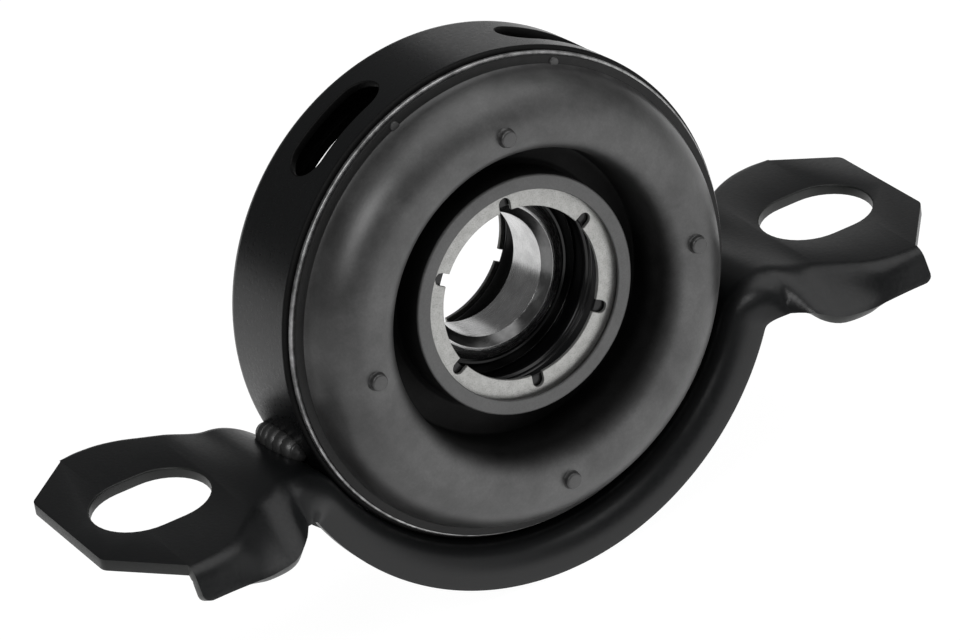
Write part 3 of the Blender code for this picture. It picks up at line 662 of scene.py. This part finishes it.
def make_flange_ring(finish):
    """Thin drawn ring that holds the rubber in the mouth of the outer ring, with a bright flange."""
    outline = rounded(
        [
            (FLANGE_EYE, FLANGE_FRONT_Y, 0.0004),
            (FLANGE_RADIUS, FLANGE_FRONT_Y, 0.00045),
            (FLANGE_RADIUS, FLANGE_BACK_Y, 0.00045),
            (FLANGE_TUBE_RADIUS, FLANGE_BACK_Y, 0.0004),
            (FLANGE_TUBE_RADIUS, FLANGE_TUBE_END, 0.0003),
            (FLANGE_EYE, FLANGE_TUBE_END, 0.0003),
        ]
    )
    ring = add_mesh("flange_ring", turned(outline, RING_FACETS), [finish])
    seat(ring, "cushion_flange_ring", centre=RING_AXIS)


def roll_path():
    """Front surface of the rubber roll, from its rim over the crest and down the steep inner wall."""
    rim = Vector((RIM_RADIUS, RIM_FRONT_Y))
    outer = rim.x - CREST.x
    inner = CREST.x - WALL_TOP.x
    drop = WALL_TOP.y - CREST.y
    rim_pull = rim - Vector((outer * 0.12, ROLL_HEIGHT * 0.62))
    wall_push = WALL_TOP + Vector((inner * 0.05, -drop * 0.75))
    points = [rim]
    points += bezier(rim, rim_pull, CREST + Vector((outer * 0.42, 0)), CREST, ROLL_STEPS)
    points += bezier(CREST, CREST - Vector((inner * 0.63, 0)), wall_push, WALL_TOP, ROLL_STEPS)
    points += [WALL_TOP.lerp(CREASE, step / WALL_STEPS) for step in range(1, WALL_STEPS + 1)]
    return points


def offset_path(points, distance):
    """The path moved sideways by the distance, to the left of its direction."""
    moved = []
    for index, point in enumerate(points):
        along = points[min(index + 1, len(points) - 1)] - points[max(index - 1, 0)]
        moved.append(point + Vector((-along.y, along.x)).normalized() * distance)
    return moved


def make_cushion(finish, rim_painted_shade_finish, pip_finish):
    """Rubber roll between flange ring and sleeve, with its moulded rim, four pips and two mould marks."""
    front = roll_path()
    back = offset_path(front, -ROLL_WALL)
    foot = SKIN_OUTER - 0.0002
    web_back = SHOULDER_Y + ROLL_WALL
    corners = [
        (RIM_RADIUS - ROLL_WALL, FLANGE_TUBE_END, 0.0004),
        (RIM_RADIUS, FLANGE_TUBE_END, 0.0003),
        (RIM_RADIUS, RIM_BACK_Y, 0),
        (RIM_OUTER, RIM_BACK_Y, 0.0002),
        (RIM_OUTER, RIM_EDGE_Y, 0.0003),
        (RIM_RADIUS + 0.0003, RIM_FRONT_Y, 0.0002),
        *[(point.x, point.y, 0) for point in front[1:-1]],
        (CREASE.x, CREASE.y, 0.0006),
        (SKIN_OUTER + SHOULDER_FOOT, SHOULDER_Y, 0.0008),
        (foot, SHOULDER_Y - SHOULDER_FOOT, 0),
        (foot, web_back, 0.0004),
        (CREASE.x + ROLL_WALL * 0.6, web_back, 0.001),
        *[(point.x, point.y, 0) for point in reversed(back[4:-1])],
    ]
    roll = add_mesh("cushion_roll", turned(rounded(corners), RING_FACETS), [finish, rim_painted_shade_finish])
    # Painted shade: the rim pad beside the flange ring takes the blacker, duller rubber.
    for face in roll.data.polygons:
        face.material_index = math.hypot(face.center.x, face.center.z) > RIM_RADIUS + SLACK
    rigid = SKIN_OUTER + RIGID_FOOT
    for vertex in roll.data.vertices:
        radius = math.hypot(vertex.co.x, vertex.co.z)
        vertex.co.z += BEARING_RISE * ease((CREST.x - radius) / (CREST.x - rigid))
    seat(roll, "rubber_cushion", centre=RING_AXIS, sharp=40)
    pip = rounded(
        [
            (0, 0.0008, 0),
            (PIP_RADIUS + 0.0007, 0.0008, 0),
            (PIP_RADIUS + 0.0001, -0.0003, 0.0004),
            (PIP_RADIUS, -PIP_HEIGHT, 0.0006),
            (0, -PIP_HEIGHT, 0),
        ]
    )
    for number, turn in enumerate(around(PIP_COUNT), 1):
        place = turn @ Vector((0, CREST.y, CREST.x))
        made = add_mesh(f"cushion_pip_{number}", turned(pip, PIP_FACETS), [pip_finish])
        seat(made, "rubber_cushion", centre=RING_AXIS + place)
    mark = rounded([(0, 0.0004, 0), (0.0013, 0.0004, 0), (0.0011, -0.0004, 0.0003), (0, -0.0004, 0)])
    for side, turn in (("left", -MOULD_MARK_TURN), ("right", MOULD_MARK_TURN)):
        place = about_y(turn) @ Vector((0, RIM_FRONT_Y, MOULD_MARK_RADIUS))
        made = add_mesh(f"mould_mark_{side}", turned(mark, MARK_FACETS), [pip_finish])
        seat(made, "rubber_cushion", centre=RING_AXIS + place)


def make_sleeve(rubber_skin, wall_painted_shade_finish, turned_steel):
    """Steel sleeve that holds the bearing, in a rubber skin whose lips turn in over its two ends."""
    skin = rounded(
        [
            (SKIN_OUTER, -LIP_OUTER_Y, 0.0005),
            (SKIN_OUTER, LIP_OUTER_Y, 0.0005),
            (LIP_EYE, LIP_OUTER_Y, 0.0003),
            (LIP_EYE, LIP_INNER_Y, 0.0002),
            (SKIN_INNER, LIP_INNER_Y, 0),
            (SKIN_INNER, -LIP_INNER_Y, 0),
            (LIP_EYE, -LIP_INNER_Y, 0.0002),
            (LIP_EYE, -LIP_OUTER_Y, 0.0003),
        ]
    )
    cover = add_mesh("sleeve_skin", turned(skin, RING_FACETS), [rubber_skin, wall_painted_shade_finish])
    # Painted shade: the skin's walls between its lips, deep in the valley, take the blacker rubber.
    for face in cover.data.polygons:
        face.material_index = abs(face.center.y) < LIP_OUTER_Y - LIP_EDGE
    seat(cover, "rubber_cushion")
    sleeve = rounded(
        [
            (SLEEVE_INNER, -SLEEVE_HALF, 0.0002),
            (SLEEVE_OUTER, -SLEEVE_HALF, 0.0002),
            (SLEEVE_OUTER, SLEEVE_HALF, 0.0002),
            (SLEEVE_INNER, SLEEVE_HALF, 0.0002),
        ]
    )
    seat(add_mesh("sleeve_tube", turned(sleeve, SLEEVE_FACETS), [turned_steel]), "inner_sleeve")


def make_retainer(name, side, node, finish):
    """Pressed disc with a skirt, slit from its eye by round-bottomed notches."""
    face, back = RETAINER_FACE, RETAINER_FACE - RETAINER_THICKNESS
    skirt = BEARING_RADIUS - RETAINER_THICKNESS
    end = face - RETAINER_SKIRT
    corners = [
        (RETAINER_EYE, face, 0.00015),
        (BEARING_RADIUS, face, 0.0008),
        (BEARING_RADIUS, end, 0.0002),
        (skirt, end, 0.0002),
        (skirt, back, 0.0003),
        (RETAINER_EYE, back, 0.00015),
    ]
    disc = add_mesh(name, turned(rounded(on_side(side, corners)), SLEEVE_FACETS), [finish])
    reach = NOTCH_REACH + NOTCH_WIDTH
    along_radius = Matrix.Rotation(math.pi / 2, 4, "X") @ Matrix.Rotation(math.pi / 2, 4, "Z")
    lift = Matrix.Translation((0, side * (face + back) / 2, RETAINER_EYE + NOTCH_REACH - reach / 2))
    places = [turn @ lift @ along_radius for turn in around(NOTCH_COUNT)]
    layers = flat_layers(RETAINER_THICKNESS / 2, 0.00012, 0.0015, 2)
    cut(disc, slot_punch(f"{name}_notches", reach, NOTCH_WIDTH, layers, places, 10))
    seat(disc, node)


def make_dust_seal(name, side, node, finish):
    """Ribbed rubber liner between retainer and bearing, with a lip behind the retainer."""
    rib = DUST_RIB_MIDDLE
    corners = [
        (DUST_LIP_RADIUS, DUST_FRONT, 0.0003),
        (DUST_SKIRT_RADIUS, DUST_FRONT, 0),
        (DUST_SKIRT_RADIUS, DUST_STEP, 0),
        (BEARING_RADIUS, DUST_STEP, 0),
        (BEARING_RADIUS, DUST_BACK, 0),
        (DUST_WALL_RADIUS, DUST_BACK, 0),
        (DUST_WALL_RADIUS, rib - 0.0013, 0.0002),
        (DUST_WALL_RADIUS - 0.0008, rib - 0.0009, 0.0002),
        (DUST_WALL_RADIUS - 0.0009, rib + 0.0008, 0.0003),
        (DUST_WALL_RADIUS - 0.0003, rib + 0.0012, 0.0001),
        (DUST_WALL_RADIUS - 0.0003, rib + 0.0022, 0.0001),
        (DUST_WALL_RADIUS, rib + 0.0024, 0.0001),
        (DUST_WALL_RADIUS, DUST_FRONT - 0.0024, 0.0004),
        (DUST_LIP_RADIUS, DUST_FRONT - 0.0011, 0.0003),
    ]
    outline = rounded(on_side(side, corners), 3)
    seat(add_mesh(name, turned(outline, SLEEVE_FACETS), [finish]), node)


def make_bearing_seal(name, side, node, finish):
    """Rubber-faced seal in the outer race, with a fine raised ridge round its middle."""
    back = SEAL_BACK
    corners = [
        (SEAL_INNER, back, 0),
        (SEAL_INNER, back + 0.0005, 0.0001),
        (SEAL_RIDGE_RADIUS - 0.0006, back + 0.0008, 0.0002),
        (SEAL_RIDGE_RADIUS - 0.0002, back + 0.0011, 0.0001),
        (SEAL_RIDGE_RADIUS + 0.0001, back + 0.0011, 0.0001),
        (SEAL_RIDGE_RADIUS + 0.0004, back + 0.0008, 0.0001),
        (SEAL_OUTER - 0.0011, back + 0.0008, 0.0002),
        (SEAL_OUTER - 0.0006, back + 0.0004, 0.0002),
        (SEAL_OUTER, back + 0.0004, 0.0001),
        (SEAL_OUTER, back, 0),
    ]
    outline = rounded(on_side(side, corners), 3)
    seat(add_mesh(name, turned(outline, SLEEVE_FACETS), [finish]), node)


def groove(side):
    """Ball track across a race, front to rear. The side is -1 for the inner race and 1 for the outer."""
    radius = BALL_RADIUS + BALL_CLEARANCE
    half = math.acos((OUTER_SHOULDER - PITCH_RADIUS) / radius)
    angles = [-half + 2 * half * step / GROOVE_STEPS for step in range(GROOVE_STEPS + 1)]
    return [(PITCH_RADIUS + side * radius * math.cos(a), radius * math.sin(a), 0) for a in angles]


def make_races(finish, chamfer_finish):
    """Ground races. The inner one ends in a bright ring that rolls over into a thin turned flinger."""
    end = INNER_RACE_WIDTH / 2
    chamfer_top = BORE_RADIUS + CHAMFER_HEIGHT
    face_edge = chamfer_top + RACE_FACE_WIDTH
    flinger = [
        (BORE_RADIUS, end - CHAMFER_DEPTH, 0.0001),
        (chamfer_top, end, 0.0001),
        (face_edge, end, 0.0005),
        (FLINGER_RADIUS - 0.0012, end - FLINGER_DROP * 0.4, 0.0012),
        (FLINGER_RADIUS, end - FLINGER_DROP + 0.0001, 0.0001),
        (FLINGER_RADIUS, end - FLINGER_DROP - 0.0001, 0),
        (INNER_SHOULDER, end - FLINGER_DROP - 0.0001, 0),
    ]
    outline = rounded([*on_side(-1, flinger), *groove(-1), *reversed(flinger)])
    race = add_mesh("race_inner", turned(outline, SLEEVE_FACETS), [finish, chamfer_finish])
    for face in race.data.polygons:
        radius = math.hypot(face.center.x, face.center.z)
        chamfered = abs(face.center.y) > end - CHAMFER_DEPTH and radius < chamfer_top - SLACK
        face.material_index = chamfered and radius > BORE_RADIUS + SLACK
    seat(race, "inner_race", "inner_race")
    end = BEARING_WIDTH / 2
    step = SEAL_BACK - 0.0003
    ledge = SEAL_OUTER + 0.0003
    half = [(OUTER_SHOULDER, step, 0), (ledge, step, 0), (ledge, end, 0.0001), (BEARING_RADIUS, end, 0.0006)]
    outline = rounded([*on_side(-1, half), *reversed(half), *reversed(groove(1))])
    race = add_mesh("race_outer", turned(outline, SLEEVE_FACETS), [finish])
    seat(race, "outer_race")


def make_balls_and_cage(ball_finish, cage_finish):
    """Lapped balls in a moulded crown cage whose prongs stand up between them."""
    places = [turn @ Vector((0, 0, PITCH_RADIUS)) for turn in around(BALL_COUNT)]
    for number, place in enumerate(places, 1):
        shape = bmesh.new()
        bmesh.ops.create_icosphere(shape, subdivisions=4, radius=BALL_RADIUS)
        ball = add_mesh(f"bearing_ball_{number:02d}", shape, [ball_finish])
        node = f"ball_{number:02d}"
        seat(ball, node, node, place, 180)
    inner, outer = PITCH_RADIUS - CAGE_WALL / 2, PITCH_RADIUS + CAGE_WALL / 2
    corners = [(inner, -CAGE_PRONG), (outer, -CAGE_PRONG), (outer, CAGE_BACK), (inner, CAGE_BACK)]
    outline = rounded([(*corner, 0.0002) for corner in corners])
    cage = add_mesh("crown_cage", turned(outline, SLEEVE_FACETS), [cage_finish])
    shape = bmesh.new()
    pocket = BALL_RADIUS + BALL_CLEARANCE
    for place in places:
        bmesh.ops.create_icosphere(shape, subdivisions=3, radius=pocket, matrix=Matrix.Translation(place))
    cut(cage, add_mesh("cage_pockets", shape))
    seat(cage, "ball_cage", "cage")


def ear_slope(x):
    """How much of the ears' slope, high at the rear, is reached at this distance from the middle."""
    return EAR_SLOPE * ease((x - BEND_CENTRE.x) / EAR_SLOPE_RUN)


def bracket_stations():
    """Stations from the bottom of the saddle to the ear's shoulder.

    Each holds its point, the normal of the sheet's lower side, the front rim, the rear rim and the slope.
    """
    stations = []
    for step in range(STRAP_STEPS + 1):
        angle = BEND_TURN * step / STRAP_STEPS
        outwards = Vector((math.sin(angle), -math.cos(angle)))
        stations.append((outwards * STRAP_RADIUS, outwards, STRAP_RIM, STRAP_RIM, 0))
    for step in range(1, BEND_STEPS + 1):
        share = step / BEND_STEPS
        angle = BEND_TURN * (1 - share)
        inwards = Vector((-math.sin(angle), math.cos(angle)))
        front = blend(STRAP_RIM, FRONT_RIMS[0][1], ease(share))
        rear = blend(STRAP_RIM, REAR_RIMS[0][1], ease(share))
        stations.append((BEND_CENTRE + inwards * EAR_BEND_RADIUS, -inwards, front, rear, 0))
    ear_length = EAR_SHOULDER_X - BEND_CENTRE.x
    shares = [step / EAR_STEPS for step in range(1, EAR_STEPS)]
    shares += [1 - (1 - s) * FLAP_ROUND / ear_length for s in (0.25, 0.5, 0.75, 0.92, 1)]
    for share in sorted(shares):
        x = BEND_CENTRE.x + ear_length * share
        rims = rim_at(FRONT_RIMS, share), rim_at(REAR_RIMS, share)
        stations.append((Vector((x, -EAR_DROP)), Vector((0, -1)), *rims, ear_slope(x)))
    return stations


def rim_at(rims, share):
    """The rim at a share of the ear's length, on a smooth curve through the ones that are given."""
    last = len(rims) - 1
    index = min(max(sum(place <= share for place, _ in rims) - 1, 0), last - 1)
    span = rims[index + 1][0] - rims[index][0]
    t = (share - rims[index][0]) / span
    tangents = []
    for at in (index, index + 1):
        (low, before), (high, after) = rims[max(at - 1, 0)], rims[min(at + 1, last)]
        tangents.append([(b - a) / (high - low) * span for a, b in zip(before, after)])
    values = zip(rims[index][1], rims[index + 1][1], *tangents)
    return tuple(
        start * (1 + 2 * t) * (1 - t) ** 2
        + end * t * t * (3 - 2 * t)
        + (leave * (1 - t) - arrive * t) * t * (1 - t)
        for start, end, leave, arrive in values
    )


def flange_point(reach, depth, fold, share):
    """Point along a flange, which bends down out of the web in an arc and then runs straight to its edge."""
    fold = min(fold, (reach * reach + depth * depth) / (2 * depth))
    angle = math.atan2(depth - fold, reach) + math.asin(min(fold / math.hypot(reach, depth - fold), 1))
    bent_out, bent_down = fold * math.sin(angle), fold * (1 - math.cos(angle))
    straight = (reach - bent_out) * math.cos(angle) + (depth - bent_down) * math.sin(angle)
    along = share * (fold * angle + max(straight, 0))
    bent = min(along / fold, angle)
    past = along - fold * bent
    out = fold * math.sin(bent) + past * math.cos(angle)
    down = fold * (1 - math.cos(bent)) + past * math.sin(angle)
    return out, down


def rim_points(rim, x):
    """How far out and down each point of a rim lies. The flap's last corner is rounded off."""
    half_web, reach, depth, fold = rim
    into_corner = max(x - (EAR_SHOULDER_X - FLAP_ROUND), 0)
    lost = FLAP_ROUND - math.sqrt(max(FLAP_ROUND**2 - into_corner**2, 0))
    kept = 1 - lost / (reach + depth)
    shares = [kept * step / FLANGE_COLUMNS for step in range(1, FLANGE_COLUMNS + 1)]
    turned_down = [flange_point(reach, depth, fold, share) for share in shares]
    return [(half_web, 0)] + [(half_web + out, down) for out, down in turned_down]


def bracket_row(shape, point, outwards, front, rear, slope):
    """One row of points across the sheet, front to rear, from the (out, down) points of its two sides."""
    across = [(-out, down) for out, down in reversed(front)] + [(0, 0)] + list(rear)
    row = []
    for y, down in across:
        flat = point + outwards * down
        row.append(shape.verts.new((flat.x, BRACKET_MIDDLE_Y + y, RING_AXIS.z + flat.y + slope * y)))
    return row


def tip_rows(shape, front_start, rear_start):
    """Rows over the ear's tip, whose two corners are rounded."""
    sides = []
    for start, end in ((front_start, EAR_TIP_FRONT), (rear_start, EAR_TIP_REAR)):
        corners = [(EAR_SHOULDER_X, start, 0), (EAR_TIP_X, end, TIP_ROUND), (EAR_TIP_X, 0, 0)]
        sides.append(rounded(corners, TIP_STEPS)[1:-1])
    rows = []
    for front, rear in zip(*sides):
        middle = (front.x + rear.x) / 2
        row = []
        for x, y in ((front.x, -front.y), (middle, 0), (rear.x, rear.y)):
            row.append(shape.verts.new((x, BRACKET_MIDDLE_Y + y, RING_AXIS.z - EAR_DROP + EAR_SLOPE * y)))
        rows.append(row)
    return rows


def join_rows(shape, first, second):
    """Fills the strip between two rows of as many points."""
    for column in range(len(first) - 1):
        shape.faces.new((first[column], first[column + 1], second[column + 1], second[column]))


def make_bracket(paint, edge_paint):
    """Saddle and ears stamped from one sheet, with lighter cut edges and a round-ended slot in each ear."""
    shape = bmesh.new()
    rows = []
    for point, outwards, front, rear, slope in bracket_stations():
        sides = rim_points(front, point.x), rim_points(rear, point.x)
        rows.append(bracket_row(shape, point, outwards, *sides, slope))
    for first, second in zip(rows, rows[1:]):
        join_rows(shape, first, second)
    last = rows[-1][FLANGE_COLUMNS:-FLANGE_COLUMNS]
    for row in tip_rows(shape, FRONT_RIMS[-1][1][0], REAR_RIMS[-1][1][0]):
        join_rows(shape, last, row)
        last = row
    for vertex in rows[0]:
        vertex.co.x = 0
    bracket = add_mesh("bracket_sheet", shape, [paint, edge_paint])
    mirror = bracket.modifiers.new("mirror", "MIRROR")
    mirror.merge_threshold = 0.00001
    sheet = bracket.modifiers.new("sheet", "SOLIDIFY")
    sheet.thickness = SHEET
    sheet.offset = 1
    sheet.use_even_offset = True
    sheet.material_offset_rim = 1
    bevel = bracket.modifiers.new("sheared_edge", "BEVEL")
    bevel.width = PRESS_ROUND
    bevel.segments = 3
    bevel.limit_method = "ANGLE"
    bevel.angle_limit = math.radians(55)
    places = []
    for side in (-1, 1):
        middle = RING_AXIS + Vector((side * MOUNT_SLOT_X, BRACKET_MIDDLE_Y, -EAR_DROP - SHEET / 2))
        places.append(Matrix.Translation(middle) @ Matrix.Rotation(math.atan(EAR_SLOPE), 4, "X"))
    layers = flat_layers(SHEET / 2, PRESS_ROUND, 0.006)
    punch = slot_punch("mount_slots", MOUNT_SLOT_LENGTH, MOUNT_SLOT_WIDTH, layers, places)
    line_punch(punch, paint, edge_paint)
    cut(bracket, punch)
    seat(bracket, "bracket", sharp=40)


def make_weld(name, side, node, finish):
    """Bead of overlapping ripples in the groove between the ring and the bracket's bend."""
    touch = Vector((STRAP_RADIUS * math.cos(BEND_ANGLE), -STRAP_RADIUS * math.sin(BEND_ANGLE)))
    along = Vector((math.sin(BEND_ANGLE), math.cos(BEND_ANGLE)))
    middle = touch + along * BEAD_LIFT
    shape = bmesh.new()
    rows = []
    for station in range(BEAD_STATIONS + 1):
        share = station / BEAD_STATIONS
        roundness = 0.45 - 0.25 * share
        taper = max(math.sin(math.pi * share), 0) ** roundness
        row = []
        for facet in range(BEAD_FACETS):
            angle = 2 * math.pi * facet / BEAD_FACETS
            lag = BEAD_LAG * math.cos(angle - side * 0.5)
            ripple = abs(math.sin(math.pi * BEAD_RIPPLES * (share + lag))) ** 0.7
            radius = (BEAD_RADIUS - BEAD_RIPPLE_DEPTH * (1 - ripple)) * taper
            x = side * middle.x + radius * math.sin(angle)
            z = middle.y + radius * math.cos(angle)
            sunk = max((RING_RADIUS - BEAD_SINK) / math.hypot(x, z), 1)
            row.append(shape.verts.new((x * sunk, BEAD_MIDDLE_Y + BEAD_LENGTH * (0.5 - share), z * sunk)))
        rows.append(row)
    for first, second in zip(rows, rows[1:]):
        for facet in range(BEAD_FACETS):
            shape.faces.new((first[facet - 1], first[facet], second[facet], second[facet - 1]))
    bmesh.ops.remove_doubles(shape, verts=shape.verts, dist=1e-6)
    bmesh.ops.recalc_face_normals(shape, faces=shape.faces)
    seat(add_mesh(name, shape, [finish]), node, centre=RING_AXIS, sharp=60)


def make_floor():
    """The paper under the part. It is stage, not part of the model."""
    shape = bmesh.new()
    bmesh.ops.create_grid(shape, x_segments=8, y_segments=8, size=FLOOR_SIZE / 2)
    floor = add_mesh("studio_floor", shape, [pale_floor()])
    floor.location.z = cad_box[0].z - FLOOR_GAP
    floor.visible_shadow = False


def add_lamp(name, place, size, power):
    """A soft square lamp that faces the bearing."""
    lamp = bpy.data.lights.new(name, "AREA")
    lamp.shape = "SQUARE"
    lamp.size = size
    lamp.energy = power
    obj = bpy.data.objects.new(name, lamp)
    bpy.context.scene.collection.objects.link(obj)
    obj.location = place
    obj.rotation_euler = (-Vector(place)).to_track_quat("-Z", "Y").to_euler()


def light_studio():
    """Soft lamps in a dim room, which the camera sees white. The strongest lies low at the right front."""
    for lamp in LAMPS:
        add_lamp(*lamp)
    world = bpy.data.worlds.new("studio_room")
    world.use_nodes = True
    tree = world.node_tree
    path = add(tree, "ShaderNodeLightPath").outputs
    room = remap(tree, path["Is Glossy Ray"], ROOM_LIGHT, ROOM_REFLECTION)
    tree.nodes["Background"].inputs["Color"].default_value = colour("#ffffff")
    strength = maths(tree, "MAXIMUM", room, path["Is Camera Ray"])
    tree.links.new(strength, tree.nodes["Background"].inputs["Strength"])
    bpy.context.scene.world = world
    bpy.context.scene.view_settings.view_transform = "Standard"


def add_camera():
    """The photograph's camera: long lens, from the left front and above."""
    lens = bpy.data.cameras.new("photo_camera")
    lens.lens = PHOTO_LENS
    lens.sensor_width = PHOTO_SENSOR
    camera = bpy.data.objects.new("photo_camera", lens)
    bpy.context.scene.collection.objects.link(camera)
    turn = Matrix((CAMERA_RIGHT, CAMERA_UP, -CAMERA_FORWARD)).transposed().to_4x4()
    camera.matrix_world = Matrix.Translation(CAMERA_PLACE) @ turn
    bpy.context.scene.camera = camera


def main():
    """Camera, finishes, pieces from the bracket inwards, then floor and lamps."""
    add_camera()
    paint = enamel("satin_black_stove_enamel", "#0b0c0d", "#101112", 0.34, 0.32)
    ring_paint = enamel("ring_stove_enamel", "#0b0c0d", "#101112", 0.3, 0.24)
    # Blacker, duller enamel that paints shade inside the ring, in its slots and along its front edge.
    painted_shade_enamel = enamel("enamel_with_painted_shade", "#050505", "#080808", 0.6, 0.15)
    edge_paint = enamel("thin_enamel_on_sheared_edge", "#101111", "#202220", 0.42, 0.34)
    bead_paint = enamel("enamel_on_weld_metal", "#262626", "#3c3c3c", 0.38, 0.6)
    # The cushion's rubber has painted shade in the valley inside 40.5 mm.
    cushion_rubber = rubber("moulded_natural_rubber", "#161616", "#3e3e3e", 0.4, 0.75, 0.6, 0.00005, 0.0405)
    pip_rubber = rubber("moulded_rubber_pip", "#1a1a1a", "#2e2e2e", 0.4, 0.7, 0.6, 0.00005)
    # Blacker, duller rubber that paints shade at the cushion's rim and on the sleeve's skin in the valley.
    painted_shade_rubber = rubber("rubber_with_painted_shade", "#141414", "#1e1e1e", 0.55, 0.2, 0.5, 0.00004)
    skin_rubber = rubber("moulded_rubber_skin", "#363636", "#424242", 0.46, 0.6, 0.4, 0.00003)
    seal_rubber = rubber("moulded_nitrile_seal", "#040405", "#08080a", 0.2, 0.4, 0.3, 0.00001)
    flange_steel = steel("raw_drawn_sheet_steel", "#7a7a7a", "#b4b4b4", 0.48, 2.2, streak=0.2)
    zinc = steel("zinc_plated_pressed_steel", "#969694", "#a2a2a0", 0.6, 1.6, speckle=0.3)
    ground = steel("ground_bearing_steel", "#c6c6c6", "#dedede", 0.26, 4.0, 6.0, 9000.0, 0.3, 0.1)
    chamfer = steel("chamfered_bearing_steel", "#5c5c5c", "#787878", 0.22, 4.0, 6.0, 9000.0, 0.2)
    turned_steel = steel("turned_sleeve_steel", "#8a8a8a", "#a8a8a8", 0.35, 5.0, 4.0, 4000.0, 0.25)
    polyamide = rubber("moulded_polyamide", "#443f38", "#4e4840", 0.45, 0.5, 0.4, 0.00001)
    make_bracket(paint, edge_paint)
    make_ring(ring_paint, painted_shade_enamel)
    make_weld("weld_ripples_left", -1, "weld_bead_left", bead_paint)
    make_weld("weld_ripples_right", 1, "weld_bead_right", bead_paint)
    make_flange_ring(flange_steel)
    make_cushion(cushion_rubber, painted_shade_rubber, pip_rubber)
    make_sleeve(skin_rubber, painted_shade_rubber, turned_steel)
    for place, side in (("front", -1), ("rear", 1)):
        make_retainer(f"{place}_retainer_disc", side, f"{place}_retainer", zinc)
        make_dust_seal(f"{place}_dust_liner", side, f"{place}_dust_seal", seal_rubber)
        make_bearing_seal(f"{place}_seal_disc", side, f"{place}_bearing_seal", seal_rubber)
    make_races(ground, chamfer)
    make_balls_and_cage(ground, polyamide)
    make_floor()
    light_studio()


main()
